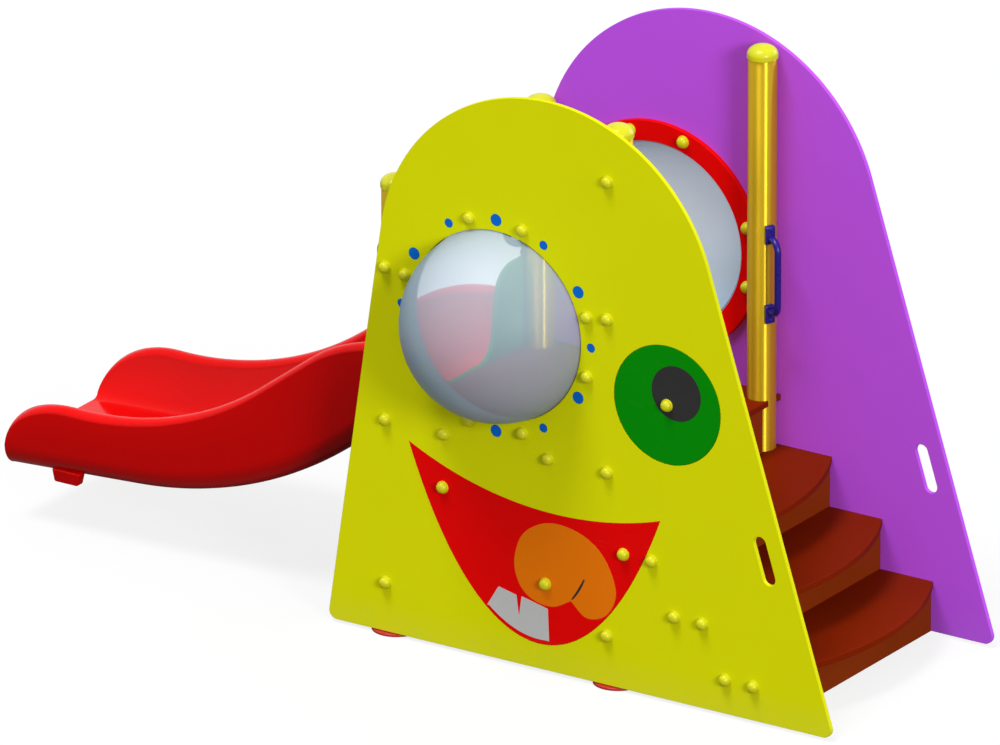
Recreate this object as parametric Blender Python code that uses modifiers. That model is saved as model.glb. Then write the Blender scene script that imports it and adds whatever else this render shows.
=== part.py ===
# Playground slide: a square deck on four posts between two shaped side panels, with steps up and a
# chute down.
# Metres, +Z up. The deck's centre line is the design origin; an empty shifts it so that the whole
# object's bottom centre lies at the world origin. +X points to the steps, -Y is the near (yellow)
# panel.

import math

import bmesh
import bpy
import numpy as np
from mathutils import Euler, Matrix, Vector

# Fits between pieces
TOUCH_GAP = 0.0003          # pieces that rest on each other
HOLE_CLEARANCE = 0.001      # radial, round every bolt shank
INLAY_CLEARANCE = 0.0008    # round a plate let into a panel
NOTCH_CLEARANCE = 0.0015    # boards cut round a post

# Facets
ARC_SAG = 0.0007            # how far a facet may stray from its arc
MERGE_DISTANCE = 0.00002
SMOOTH_ANGLE = math.radians(35)
HOLE_SIDES = 6
BOLT_STEPS = 6
PIVOT_STEPS = 12
POST_STEPS = 24
PUPIL_STEPS = 32
WINDOW_STEPS = 32
EYE_STEPS = 48
CHIN_STEPS = 22
DOME_RINGS = 6
NOTCH_STEPS = 32
CUT_OVERRUN = 0.002         # pockets run past the face by this much, so that the cut is clean

# Posts and feet
POST_SPACING_X = 0.800
POST_SPACING_Y = 0.800
POST_RADIUS = 0.045
POST_WALL = 0.003
TALL_POST_TOP = 1.764
SHORT_POST_TOP = 1.435
CAP_RIM_RADIUS = 0.048
CAP_RIM_HEIGHT = 0.012
CAP_DOME_HEIGHT = 0.031
CAP_PLUG_DEPTH = 0.030
BASE_RADIUS = 0.076
BASE_THICKNESS = 0.008
BASE_SPIGOT_HEIGHT = 0.045

# Side panels
PANEL_THICKNESS = 0.015
PANEL_GROUND_GAP = 0.010
PANEL_REACH_SLIDE = 0.6097   # deck centre to the bottom corner at the slide end
PANEL_REACH_STEPS = 1.2125   # deck centre to the bottom corner at the step end
PANEL_LEAN_SLIDE = math.radians(8.38)
PANEL_LEAN_STEPS = math.radians(17.77)
PANEL_ABOVE_POST = 0.085     # tall post's top up to the panels' highest point
PANEL_CORNER_RADIUS = 0.027
HAND_SLOT_LENGTH = 0.156
HAND_SLOT_WIDTH = 0.044
HAND_SLOT_EDGE_DISTANCE = 0.077
HAND_SLOT_HEIGHT = 0.534

# Bubble windows
DOME_RADIUS = 0.302
DOME_WALL = 0.004
DOME_FLANGE_WIDTH = 0.022
WINDOW_HOLE_RADIUS = 0.305
RING_WIDTH = 0.067
RING_THICKNESS = 0.015
RING_ABOVE_DECK = 0.052      # deck's top up to the ring's lower edge
RING_BOLT_INSET = 0.0365     # edge of the window's hole to the circle of bolts
RING_BOLT_HALF_ANGLE = math.radians(16.3)

# Steps and deck
RISE = 0.164
STEP_COUNT = 3
BOARD_THICKNESS = 0.020
RISER_THICKNESS = 0.015
NOSING_SETBACK = 0.006       # riser front behind the tread's front corners
TREAD_BOW = 0.112
FIRST_TREAD_FRONT = 0.9905
TREAD_GOING = 0.1827
DECK_FRONT_REACH = 0.440

# Angles that carry the boards
ANGLE_WALL = 0.004
TREAD_ANGLE_LEG = 0.048
TREAD_ANGLE_LENGTH = 0.124
TREAD_ANGLE_INSET = 0.115    # tread's front corner back to the middle of its angle
TREAD_BOLT_SPACING = 0.101
TREAD_BOLT_DROP = 0.054      # tread top down to its bolts
DECK_ANGLE_LEG = 0.050
DECK_ANGLE_LENGTH = 0.040
DECK_ANGLE_OFFSET = 0.188
DECK_SCREW_INSET = 0.030     # side panel to the deck's pins
DECK_BOLT_RISE = 0.033       # deck top up to its bolts

# Bolts
BOLT_RADIUS = 0.005
BOLT_CAP_RADIUS = 0.020
BOLT_CAP_HEIGHT = 0.020
BOLT_CAP_RIM = 0.005
BOLT_POST_REACH = 0.010      # shank past the post's inner wall
BOLT_NUT_RADIUS = 0.0095
BOLT_NUT_HEIGHT = 0.008
FLAT_HEAD_RADIUS = 0.012
FLAT_HEAD_HEIGHT = 0.004
FLAT_HEAD_BEVEL = 0.002
SCREW_RADIUS = 0.0030
SCREW_LENGTH = 0.016
POST_BOLT_HEIGHTS_SHORT = (0.170, 0.700, 1.195)
TOP_BOLT_DROP = 0.126        # tall post's top down to its highest bolt

# Face on the near panel
INLAY_DEPTH = 0.007
EYE_X = 0.615
EYE_HEIGHT = 0.964
EYE_RADIUS = 0.190
EYE_RUNNING_GAP = 0.0015
EYE_FLOOR_GAP = 0.0005
PUPIL_RADIUS = 0.088
PUPIL_OFFSET_X = 0.032
PUPIL_OFFSET_Z = 0.043
PUPIL_DEPTH = 0.004
MOUTH_LEFT = (-0.315, 0.650)
MOUTH_RIGHT = (0.590, 0.584)
MOUTH_LIP_SAG = 0.090
MOUTH_CHIN_LEFT = (-0.063, -0.064)      # pulls the chin's curve down from each corner
MOUTH_CHIN_RIGHT = (0.338, -0.102)
MOUTH_INLAY_DEPTH = 0.003
MOUTH_BOLTS = ((-0.192, 0.525), (0.179, 0.291))
TEETH_LEFT = -0.032
TEETH_RIGHT = 0.192
TEETH_CORNER_X = 0.009
TEETH_TAPER = 0.005
TEETH_LEFT_FOOT = 0.178
TEETH_LEFT_TOP = 0.246
TEETH_RIGHT_TOP = 0.211
TEETH_NOTCH = (0.083, 0.165)
TEETH_NOTCH_HALF = 0.009
TEETH_NOTCH_TOP = 0.232
TEETH_FOOT_RISE = 0.014
TONGUE_POINTS = ((0.270, 0.254), (0.328, 0.211), (0.400, 0.238), (0.432, 0.320), (0.385, 0.426),
                 (0.298, 0.482), (0.188, 0.490), (0.098, 0.437), (0.066, 0.345), (0.086, 0.268),
                 (0.137, 0.228), (0.206, 0.222))    # from the notch between its lobes, round to it again
TONGUE_STEPS = 3             # facets between two of these points

# Grab handles
HANDLE_SPACING = 0.257
HANDLE_HEIGHT_TALL = 1.0785
HANDLE_ABOVE_ENTRY = 0.003   # short posts: entry panel's top to the lower pad
HANDLE_REACH = 0.105
HANDLE_BAR_RADIUS = 0.0105
HANDLE_PAD_HEIGHT = 0.060
HANDLE_PAD_WIDTH = 0.029
HANDLE_PAD_THICKNESS = 0.015
HANDLE_BEND_RADIUS = 0.034
HANDLE_BAR_INSET = 0.010     # bar's end from its pad's middle, towards the other pad
HANDLE_STUD_INSET = 0.018    # stud from its pad's middle, away from the other pad
HANDLE_STUD_REACH = 0.008    # past the post's inner wall
HANDLE_TURN = math.radians(30)

# Slide entry panel
ENTRY_THICKNESS = 0.015
ENTRY_TOP = 0.947
ENTRY_SKIRT = 0.057          # below the deck's top
ENTRY_OPENING_FLOOR_HALF = 0.207
ENTRY_OPENING_TOP_HALF = 0.240
ENTRY_OPENING_RADIUS = 0.080
ENTRY_SHOULDER_RADIUS = 0.095    # opening's side over to the panel's top edge
ENTRY_CORNER_RADIUS = 0.050
ENTRY_BOLT_HEIGHTS = (0.760, 0.900)

# Chute
CHUTE_WIDTH = 0.627
CHUTE_WALL = 0.050           # width of a wall's rounded top
CHUTE_WALL_FOOT = 0.190      # middle of the floor to where the leaning walls meet it
CHUTE_WALL_LEAN = math.radians(27)      # most that a wall's inner face leans outwards
CHUTE_FLOOR = 0.045          # floor down to the underside, at the entry
CHUTE_EXIT_FLOOR = 0.065     # the same at the exit
CHUTE_OUTER_RADIUS = 0.080
CHUTE_FILLET_RADIUS = 0.045
CHUTE_FILLET_SHARE = 0.9     # part of a low wall's face that its fillet may take
CHUTE_LIP_RADIUS = 0.120
CHUTE_ANGLE = math.radians(40)
CHUTE_STRAIGHT = 0.1035
CHUTE_SWEEP_RADIUS = 1.351
CHUTE_RUNOUT_ANGLE = math.radians(2.5)
CHUTE_RUNOUT = 0.465
CHUTE_ENTRY_WALL = 0.203     # wall crest above the floor at the entry
CHUTE_SHOULDER = 0.182       # entry to the crest's first corner
CHUTE_SHOULDER_RADIUS = 0.529
CHUTE_CREST_ANGLE = math.radians(36.85)
CHUTE_CREST_SWEEP = 1.097
CHUTE_CREST_RISE = math.radians(0.7)
CHUTE_EXIT_WALL = 0.1775     # crest line above the floor at the exit, before it is rounded
CHUTE_NOSE_LENGTH = 0.231    # the crest comes down over this length,
CHUTE_NOSE_DROP = 0.1475     # by this much, along a quarter of an ellipse
CHUTE_NOSE_STEPS = 9
CHUTE_ROLL_SHARE = 0.6       # part of a low wall's height that its rounded top takes
CHUTE_SKIN = 0.006           # moulded skin round the hollow between the two walls
CHUTE_ENTRY_THICKNESS = 0.040    # left solid behind the entry, for the bolts
CHUTE_NOSE_THICKNESS = 0.030     # left solid at the exit
CHUTE_VENT_RADIUS = 0.010
CHUTE_VENT_FROM_EXIT = 0.400
CHUTE_BOLT_HEIGHTS = (0.045, 0.150)
CHUTE_BOLT_DEPTH = 0.030
LUG_LENGTH = 0.085
LUG_WIDTH = 0.034
LUG_TAPER = 0.007            # how far each end runs out from the foot up to the underside
LUG_DEPTH = 0.030
LUG_INSET = 0.028            # chute side to the lug's outer face
LUG_FROM_EXIT = 0.163

# Worked out from the sizes above
HALF_X = POST_SPACING_X / 2
HALF_Y = POST_SPACING_Y / 2
PANEL_INNER_Y = HALF_Y + POST_RADIUS
PANEL_OUTER_Y = PANEL_INNER_Y + TOUCH_GAP + PANEL_THICKNESS
DECK_TOP = PANEL_GROUND_GAP + RISE * (STEP_COUNT + 1)
BOARD_HALF_Y = PANEL_INNER_Y
RING_OUTER_RADIUS = WINDOW_HOLE_RADIUS + RING_WIDTH
RING_BOLT_CIRCLE = WINDOW_HOLE_RADIUS + RING_BOLT_INSET
WINDOW_HEIGHT = DECK_TOP + RING_ABOVE_DECK + RING_OUTER_RADIUS
POST_BOLT_HEIGHTS_TALL = (*POST_BOLT_HEIGHTS_SHORT, TALL_POST_TOP - TOP_BOLT_DROP)
ENTRY_INNER_X = -(HALF_X + POST_RADIUS + TOUCH_GAP)
ENTRY_OUTER_X = ENTRY_INNER_X - ENTRY_THICKNESS
CHUTE_START_X = ENTRY_OUTER_X - TOUCH_GAP
HANDLE_HEIGHT_SHORT = ENTRY_TOP + HANDLE_ABOVE_ENTRY + (HANDLE_PAD_HEIGHT + HANDLE_SPACING) / 2
POST_GRIP = PANEL_THICKNESS + TOUCH_GAP + POST_WALL + BOLT_POST_REACH
ENTRY_GRIP = ENTRY_THICKNESS + TOUCH_GAP + POST_WALL + BOLT_POST_REACH
ANGLE_GRIP = PANEL_THICKNESS + TOUCH_GAP + ANGLE_WALL / 2
HOLE_RADIUS = BOLT_RADIUS + HOLE_CLEARANCE
PLUG_RADIUS = POST_RADIUS - POST_WALL - TOUCH_GAP * 2
NOTCH_RADIUS = POST_RADIUS + NOTCH_CLEARANCE
SIDES = (-1, 1)


# Outlines, as lists of (u, v) points

def arc(centre, radius, start, sweep):
    step = 2 * math.acos(1 - ARC_SAG / radius) if radius > ARC_SAG else math.pi / 2
    count = max(2, math.ceil(abs(sweep) / step))
    return [(centre[0] + radius * math.cos(start + sweep * i / count),
             centre[1] + radius * math.sin(start + sweep * i / count)) for i in range(count + 1)]


def circle(centre, radius, sides):
    # turned a little, so that no corner lies level with the centre of the next hole in a row
    angles = [math.tau * (i + 0.3) / sides for i in range(sides)]
    return [(centre[0] + radius * math.cos(a), centre[1] + radius * math.sin(a)) for a in angles]


def corner_arc(before, corner, after, radius):
    # the arc of this radius that touches both edges of a corner
    tip = Vector(corner)
    back = (Vector(before) - tip).normalized()
    ahead = (Vector(after) - tip).normalized()
    half = back.angle(ahead) / 2
    centre = tip + (back + ahead).normalized() * (radius / math.sin(half))
    first = tip + back * (radius / math.tan(half)) - centre
    last = tip + ahead * (radius / math.tan(half)) - centre
    start = math.atan2(first.y, first.x)
    sweep = (math.atan2(last.y, last.x) - start + math.pi) % math.tau - math.pi
    return arc(centre, radius, start, sweep)


def rounded(corners):
    # closed outline through (u, v, corner radius)
    points = []
    for i, (u, v, radius) in enumerate(corners):
        before = corners[i - 1][:2]
        after = corners[(i + 1) % len(corners)][:2]
        points += corner_arc(before, (u, v), after, radius) if radius else [(u, v)]
    return points


def rounded_path(corners):
    # open line through (u, v, corner radius)
    points = [corners[0][:2]]
    for before, corner, after in zip(corners, corners[1:], corners[2:]):
        points += corner_arc(before[:2], corner[:2], after[:2], corner[2])
    return points + [corners[-1][:2]]


def capsule(centre, length, width, lean):
    # a slot with round ends, its long axis leaning back from upright
    along = Vector((-math.sin(lean), math.cos(lean))) * (length - width) / 2
    top, bottom = Vector(centre) + along, Vector(centre) - along
    return (arc(top, width / 2, lean, math.pi) + arc(bottom, width / 2, lean + math.pi, math.pi))


def bezier(p0, p1, p2, p3, count):
    points = []
    for i in range(count + 1):
        t = i / count
        weights = ((1 - t) ** 3, 3 * (1 - t) ** 2 * t, 3 * (1 - t) * t * t, t ** 3)
        points.append(tuple(sum(w * c for w, c in zip(weights, axis)) for axis in zip(p0, p1, p2, p3)))
    return points


def closed_curve(points, count):
    # smooth through all the points, with a sharp corner at the first
    points = [Vector(p) for p in (*points, points[0])]
    tangents = [points[1] - points[0], *((b - a) / 2 for a, b in zip(points, points[2:])),
                points[-1] - points[-2]]
    outline = []
    for i in range(len(points) - 1):
        start, end = points[i], points[i + 1]
        outline += bezier(start, start + tangents[i] / 3, end - tangents[i + 1] / 3, end, count)[:-1]
    return outline


def polar(radius, angle):
    return (radius * math.cos(angle), radius * math.sin(angle))


# Meshes

UPRIGHT = Euler((math.pi / 2, 0, 0))                # outline's u, v to world X, Z
ACROSS = Euler((math.pi / 2, 0, math.pi / 2))       # outline's u, v to world Y, Z


def collection(name):
    made = bpy.data.collections.new(name)
    bpy.context.scene.collection.children.link(made)
    return made


def tidy(mesh):
    bm = bmesh.new()
    bm.from_mesh(mesh)
    bmesh.ops.remove_doubles(bm, verts=bm.verts, dist=MERGE_DISTANCE)
    bmesh.ops.recalc_face_normals(bm, faces=bm.faces)
    bm.to_mesh(mesh)
    bm.free()
    return mesh


def evaluated(obj):
    # the finished mesh of a helper object, which is then removed
    bpy.context.view_layer.update()
    mesh = bpy.data.meshes.new_from_object(obj.evaluated_get(bpy.context.evaluated_depsgraph_get()))
    data = obj.data
    bpy.data.objects.remove(obj)
    if isinstance(data, bpy.types.Curve):
        bpy.data.curves.remove(data)
    else:
        bpy.data.meshes.remove(data)
    return tidy(mesh)


def helper(data):
    obj = bpy.data.objects.new("helper", data)
    cutters.objects.link(obj)
    return obj


def flat(outlines, thickness):
    # a flat plate from its outline and the outlines of its holes
    curve = bpy.data.curves.new("outline", "CURVE")
    curve.dimensions = "2D"
    curve.fill_mode = "BOTH"
    curve.extrude = thickness / 2
    for outline in outlines:
        spline = curve.splines.new("POLY")
        spline.points.add(len(outline) - 1)
        for point, (u, v) in zip(spline.points, outline):
            point.co = (u, v, 0, 1)
        spline.use_cyclic_u = True
    return evaluated(helper(curve))


def turned(profile, steps, closed=False):
    # a solid of revolution about Z from (radius, height) points
    mesh = bpy.data.meshes.new("profile")
    edges = [(i, i + 1) for i in range(len(profile) - 1)]
    if closed:
        edges.append((len(profile) - 1, 0))
    mesh.from_pydata([(r, 0, z) for r, z in profile], edges, [])
    obj = helper(mesh)
    screw = obj.modifiers.new("turn", "SCREW")
    screw.steps = screw.render_steps = steps
    screw.use_merge_vertices = True
    screw.merge_threshold = MERGE_DISTANCE
    return evaluated(obj)


def rod(radius, bottom, top, sides):
    mesh = bpy.data.meshes.new("rod")
    bm = bmesh.new()
    bmesh.ops.create_cone(bm, cap_ends=True, segments=sides, radius1=radius, radius2=radius,
                          depth=top - bottom)
    bmesh.ops.translate(bm, verts=bm.verts, vec=(0, 0, (top + bottom) / 2))
    bm.to_mesh(mesh)
    bm.free()
    return mesh


def block(low, high):
    mesh = bpy.data.meshes.new("block")
    bm = bmesh.new()
    bmesh.ops.create_cube(bm, size=1)
    size = Vector(high) - Vector(low)
    bmesh.ops.scale(bm, verts=bm.verts, vec=size)
    bmesh.ops.translate(bm, verts=bm.verts, vec=(Vector(high) + Vector(low)) / 2)
    bm.to_mesh(mesh)
    bm.free()
    return mesh


def gathered(items):
    # one mesh of several (mesh, matrix) copies
    bm = bmesh.new()
    for mesh, matrix in items:
        copy = mesh.copy()
        copy.transform(matrix)
        bm.from_mesh(copy)
        bpy.data.meshes.remove(copy)
    merged = bpy.data.meshes.new("gathered")
    bm.to_mesh(merged)
    bm.free()
    return merged


def facing(place, direction):
    # puts a mesh's +Z along a direction
    return Matrix.Translation(place) @ Vector(direction).to_track_quat("Z", "Y").to_matrix().to_4x4()


def combined(mesh, other, operation):
    # the Boolean of two meshes in one local frame
    target, tool = helper(mesh), helper(other)
    boolean = target.modifiers.new("shape", "BOOLEAN")
    boolean.operation = operation
    boolean.object = tool
    result = evaluated(target)
    bpy.data.objects.remove(tool)
    return result


# Objects

def material(name, colour, roughness, metallic=0.0, alpha=1.0):
    made = bpy.data.materials.new(name)
    made.use_nodes = True
    shader = made.node_tree.nodes["Principled BSDF"]
    shader.inputs["Base Color"].default_value = (*colour, 1)
    shader.inputs["Roughness"].default_value = roughness
    shader.inputs["Metallic"].default_value = metallic
    shader.inputs["Alpha"].default_value = alpha
    return made


def piece(name, mesh, finish, place=(0, 0, 0), turn=(0, 0, 0), smooth=False):
    obj = bpy.data.objects.new(name, mesh)
    if not mesh.materials:
        mesh.materials.append(finish)
    if smooth:
        mesh.shade_smooth()
        mesh.set_sharp_from_angle(angle=SMOOTH_ANGLE)
    parts.objects.link(obj)
    obj.parent = centre
    obj.location = place
    obj.rotation_euler = turn
    return obj


def cut(target, name, items):
    # takes the gathered (mesh, matrix) cutters out of a piece
    cutter = bpy.data.objects.new(name, gathered(items))
    cutters.objects.link(cutter)
    cutter.parent = centre
    cutter.hide_render = True
    cutter.display_type = "WIRE"
    boolean = target.modifiers.new(name, "BOOLEAN")
    boolean.operation = "DIFFERENCE"
    boolean.solver = "EXACT"
    boolean.object = cutter


def side_name(side):
    return "near" if side < 0 else "far"


def bolt_profile(grip, nut):
    # domed head above the face, shank below it, and a nut where it has one
    dome = [(BOLT_CAP_RADIUS * math.sin(a), BOLT_CAP_RIM + (BOLT_CAP_HEIGHT - BOLT_CAP_RIM) * math.cos(a))
            for a in (0, math.radians(50), math.pi / 2)]
    profile = dome + [(BOLT_CAP_RADIUS, TOUCH_GAP), (BOLT_RADIUS, TOUCH_GAP), (BOLT_RADIUS, -grip)]
    if nut:
        profile += [(BOLT_NUT_RADIUS, -grip), (BOLT_NUT_RADIUS, -grip - BOLT_NUT_HEIGHT)]
    return profile + [(0, profile[-1][1])]


def flat_bolt_profile(grip):
    # a low bevelled head above the face and the shank below it
    return [(0, FLAT_HEAD_HEIGHT), (FLAT_HEAD_RADIUS - FLAT_HEAD_BEVEL, FLAT_HEAD_HEIGHT),
            (FLAT_HEAD_RADIUS, FLAT_HEAD_HEIGHT - FLAT_HEAD_BEVEL), (FLAT_HEAD_RADIUS, TOUCH_GAP),
            (BOLT_RADIUS, TOUCH_GAP), (BOLT_RADIUS, -grip), (0, -grip)]


def tread_front(step):
    return FIRST_TREAD_FRONT - TREAD_GOING * (step - 1) if step <= STEP_COUNT else DECK_FRONT_REACH


def tread_top(step):
    return PANEL_GROUND_GAP + RISE * step


def post_places():
    # (name, x, side, top, bolt heights, handle height) of the four posts
    for x, end, top, bolts, handle in (
            (-HALF_X, "slide", SHORT_POST_TOP, POST_BOLT_HEIGHTS_SHORT, HANDLE_HEIGHT_SHORT),
            (HALF_X, "step", TALL_POST_TOP, POST_BOLT_HEIGHTS_TALL, HANDLE_HEIGHT_TALL)):
        for side in SIDES:
            yield f"{end}_{side_name(side)}", x, side, top, bolts, handle


def handle_direction(x, side):
    outward = math.copysign(1, x)
    return Vector((outward * math.cos(HANDLE_TURN), -side * math.sin(HANDLE_TURN), 0))


def tread_bolt_places():
    for step in range(1, STEP_COUNT + 1):
        middle = tread_front(step) - TREAD_ANGLE_INSET
        for offset in (-TREAD_BOLT_SPACING / 2, TREAD_BOLT_SPACING / 2):
            yield middle + offset, tread_top(step) - TREAD_BOLT_DROP


def deck_bolt_places():
    for x in (-DECK_ANGLE_OFFSET, DECK_ANGLE_OFFSET):
        yield x, DECK_TOP + DECK_BOLT_RISE


def post_bolt_places():
    yield from ((-HALF_X, z) for z in POST_BOLT_HEIGHTS_SHORT)
    yield from ((HALF_X, z) for z in POST_BOLT_HEIGHTS_TALL)


def ring_bolt_circle():
    for quarter in range(4):
        for lean in (-RING_BOLT_HALF_ANGLE, RING_BOLT_HALF_ANGLE):
            yield polar(RING_BOLT_CIRCLE, quarter * math.pi / 2 + lean)


def ring_bolt_places():
    for u, v in ring_bolt_circle():
        yield u, WINDOW_HEIGHT + v


# Side panels

def panel_outline():
    # a triangle on the ground line with rounded corners; the top arc touches both leaning edges
    base = PANEL_REACH_SLIDE + PANEL_REACH_STEPS
    apex = base / (math.tan(PANEL_LEAN_SLIDE) + math.tan(PANEL_LEAN_STEPS))
    apex_x = -PANEL_REACH_SLIDE + apex * math.tan(PANEL_LEAN_SLIDE)
    apex_height = PANEL_GROUND_GAP + apex
    half_angle = (PANEL_LEAN_STEPS + PANEL_LEAN_SLIDE) / 2
    tilt = (PANEL_LEAN_STEPS - PANEL_LEAN_SLIDE) / 2
    cut_off = apex_height - TALL_POST_TOP - PANEL_ABOVE_POST
    top_radius = cut_off / (math.cos(tilt) / math.sin(half_angle) - 1)
    return rounded([(-PANEL_REACH_SLIDE, PANEL_GROUND_GAP, PANEL_CORNER_RADIUS),
                    (PANEL_REACH_STEPS, PANEL_GROUND_GAP, PANEL_CORNER_RADIUS),
                    (apex_x, apex_height, top_radius)])


def hand_slot_outline():
    edge = PANEL_REACH_STEPS - (HAND_SLOT_HEIGHT - PANEL_GROUND_GAP) * math.tan(PANEL_LEAN_STEPS)
    middle = edge - HAND_SLOT_EDGE_DISTANCE / math.cos(PANEL_LEAN_STEPS)
    return capsule((middle, HAND_SLOT_HEIGHT), HAND_SLOT_LENGTH, HAND_SLOT_WIDTH, PANEL_LEAN_STEPS)


def lip_outline():
    # the mouth's sagging upper edge, from its right corner back to its left
    left, right = Vector(MOUTH_LEFT), Vector(MOUTH_RIGHT)
    chord = right - left
    radius = (chord.length ** 2 / 4 + MOUTH_LIP_SAG ** 2) / (2 * MOUTH_LIP_SAG)
    upward = Vector((-chord.y, chord.x)).normalized()
    middle = (left + right) / 2 + upward * (radius - MOUTH_LIP_SAG)
    first, last = right - middle, left - middle
    start = math.atan2(first.y, first.x)
    return arc(middle, radius, start, -first.angle(last))


def chin_outline():
    return bezier(MOUTH_LEFT, MOUTH_CHIN_LEFT, MOUTH_CHIN_RIGHT, MOUTH_RIGHT, CHIN_STEPS)


def mouth_outline():
    return chin_outline()[:-1] + lip_outline()[:-1]


def grown(outline, margin):
    # the outline moved outwards by a margin, corner by corner
    points = [Vector(p) for p in outline]
    area = sum(a.x * b.y - b.x * a.y for a, b in zip(points, points[1:] + points[:1]))
    outward = math.copysign(1, area)
    sharpest = 0.35     # a corner tighter than this moves no further out
    result = []
    for i, point in enumerate(points):
        back = (point - points[i - 1]).normalized()
        ahead = (points[(i + 1) % len(points)] - point).normalized()
        normal = Vector((back.y + ahead.y, -back.x - ahead.x)).normalized() * outward
        across = normal.dot(Vector((back.y, -back.x)) * outward)
        result.append(point + normal * margin / max(sharpest, across))
    return result


def teeth_outline():
    # two square teeth with a notch between, cut along the chin at their foot
    foot = [(u, v + TEETH_FOOT_RISE) for u, v in chin_outline() if TEETH_LEFT < u < TEETH_RIGHT]
    notch_u = TEETH_NOTCH[0]
    return [(TEETH_LEFT, TEETH_LEFT_FOOT), *foot, (TEETH_RIGHT, foot[-1][1]),
            (TEETH_RIGHT - TEETH_TAPER, TEETH_RIGHT_TOP), (notch_u + TEETH_NOTCH_HALF, TEETH_NOTCH_TOP),
            TEETH_NOTCH, (notch_u - TEETH_NOTCH_HALF, TEETH_NOTCH_TOP), (TEETH_CORNER_X, TEETH_LEFT_TOP)]


def tongue_outline():
    return closed_curve(TONGUE_POINTS, TONGUE_STEPS)


def window_hole():
    return circle((0, WINDOW_HEIGHT), WINDOW_HOLE_RADIUS, EYE_STEPS)


def outer_place(side, depth=0.0):
    # Y of a plane this far below a side panel's outer face
    return side * (PANEL_OUTER_Y - depth)


def build_panel(side, finish):
    places = [*post_bolt_places(), *tread_bolt_places(), *deck_bolt_places(), *ring_bolt_places()]
    if side < 0:
        places += [(EYE_X, EYE_HEIGHT), *MOUTH_BOLTS]
    holes = [circle(place, HOLE_RADIUS, HOLE_SIDES) for place in places]
    mesh = flat([panel_outline(), window_hole(), hand_slot_outline(), *holes], PANEL_THICKNESS)
    return piece(f"panel_{side_name(side)}", mesh, finish,
                 (0, outer_place(side, PANEL_THICKNESS / 2), 0), UPRIGHT)


def let_in(mesh, depth, thickness):
    # a mesh and its matrix: its front face this deep below the near panel's outer face
    place = Matrix.Translation((0, outer_place(-1, depth + thickness / 2), 0))
    return mesh, place @ UPRIGHT.to_matrix().to_4x4()


def build_near_face(panel, finishes):
    def pocket(outline, depth, floor_gap=TOUCH_GAP):
        thickness = depth + floor_gap + CUT_OVERRUN
        return let_in(flat([outline], thickness), -CUT_OVERRUN, thickness)

    eye_centre = (EYE_X, EYE_HEIGHT)
    pupil_centre = (EYE_X + PUPIL_OFFSET_X, EYE_HEIGHT + PUPIL_OFFSET_Z)
    pivot_hole = circle(eye_centre, HOLE_RADIUS, PIVOT_STEPS)
    eye_pocket = circle(eye_centre, EYE_RADIUS + EYE_RUNNING_GAP, EYE_STEPS)
    mouth_pocket = grown(mouth_outline(), INLAY_CLEARANCE)
    cut(panel, "face_pockets", [pocket(eye_pocket, INLAY_DEPTH, EYE_FLOOR_GAP),
                                pocket(mouth_pocket, INLAY_DEPTH)])

    disc = flat([circle(eye_centre, EYE_RADIUS, EYE_STEPS), pivot_hole], INLAY_DEPTH)
    disc = piece("eye_disc", *centred_on_eye(disc, INLAY_DEPTH, finishes["green"]))
    pupil_pocket = circle(pupil_centre, PUPIL_RADIUS + INLAY_CLEARANCE, PUPIL_STEPS)
    cut(disc, "pupil_pocket", [pocket(pupil_pocket, PUPIL_DEPTH)])
    pupil = flat([circle(pupil_centre, PUPIL_RADIUS, PUPIL_STEPS), pivot_hole], PUPIL_DEPTH)
    piece("eye_pupil", *centred_on_eye(pupil, PUPIL_DEPTH, finishes["black"]))
    pivot = turned(bolt_profile(PANEL_THICKNESS + TOUCH_GAP, True), PIVOT_STEPS)
    piece("eye_pivot", pivot, finishes["cap"], (EYE_X, outer_place(-1), EYE_HEIGHT),
          (math.pi / 2, 0, 0), smooth=True)

    plate_holes = [circle(place, HOLE_RADIUS, HOLE_SIDES) for place in (*MOUTH_BOLTS, mouth_corner_bolt())]
    mouth = piece("mouth_plate", flat([mouth_outline(), *plate_holes], INLAY_DEPTH), finishes["red"],
                  (0, outer_place(-1, INLAY_DEPTH / 2), 0), UPRIGHT)
    cut(mouth, "mouth_pockets", [pocket(grown(teeth_outline(), INLAY_CLEARANCE), MOUTH_INLAY_DEPTH),
                                 pocket(grown(tongue_outline(), INLAY_CLEARANCE), MOUTH_INLAY_DEPTH)])
    inlay_y = outer_place(-1, MOUTH_INLAY_DEPTH / 2)
    piece("teeth_plate", flat([teeth_outline()], MOUTH_INLAY_DEPTH), finishes["grey"],
          (0, inlay_y, 0), UPRIGHT)
    tongue_holes = [circle(MOUTH_BOLTS[1], HOLE_RADIUS, HOLE_SIDES)]
    piece("tongue_plate", flat([tongue_outline(), *tongue_holes], MOUTH_INLAY_DEPTH), finishes["orange"],
          (0, inlay_y, 0), UPRIGHT)
    bolt = turned(bolt_profile(PANEL_THICKNESS + TOUCH_GAP, True), BOLT_STEPS)
    for name, (x, z) in zip(("mouth_bolt_corner", "mouth_bolt_tongue"), MOUTH_BOLTS):
        piece(name, bolt, finishes["cap"], (x, outer_place(-1), z), (math.pi / 2, 0, 0), smooth=True)


def centred_on_eye(mesh, thickness, finish):
    # moves a flat mesh so that its origin lies on the eye's axis; gives piece() its arguments
    mesh.transform(Matrix.Translation((-EYE_X, -EYE_HEIGHT, 0)))
    return mesh, finish, (EYE_X, outer_place(-1, thickness / 2), EYE_HEIGHT), UPRIGHT


def mouth_corner_bolt():
    # the last tread's front bolt also passes through the mouth's right corner
    return list(tread_bolt_places())[-2]


# Windows

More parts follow.
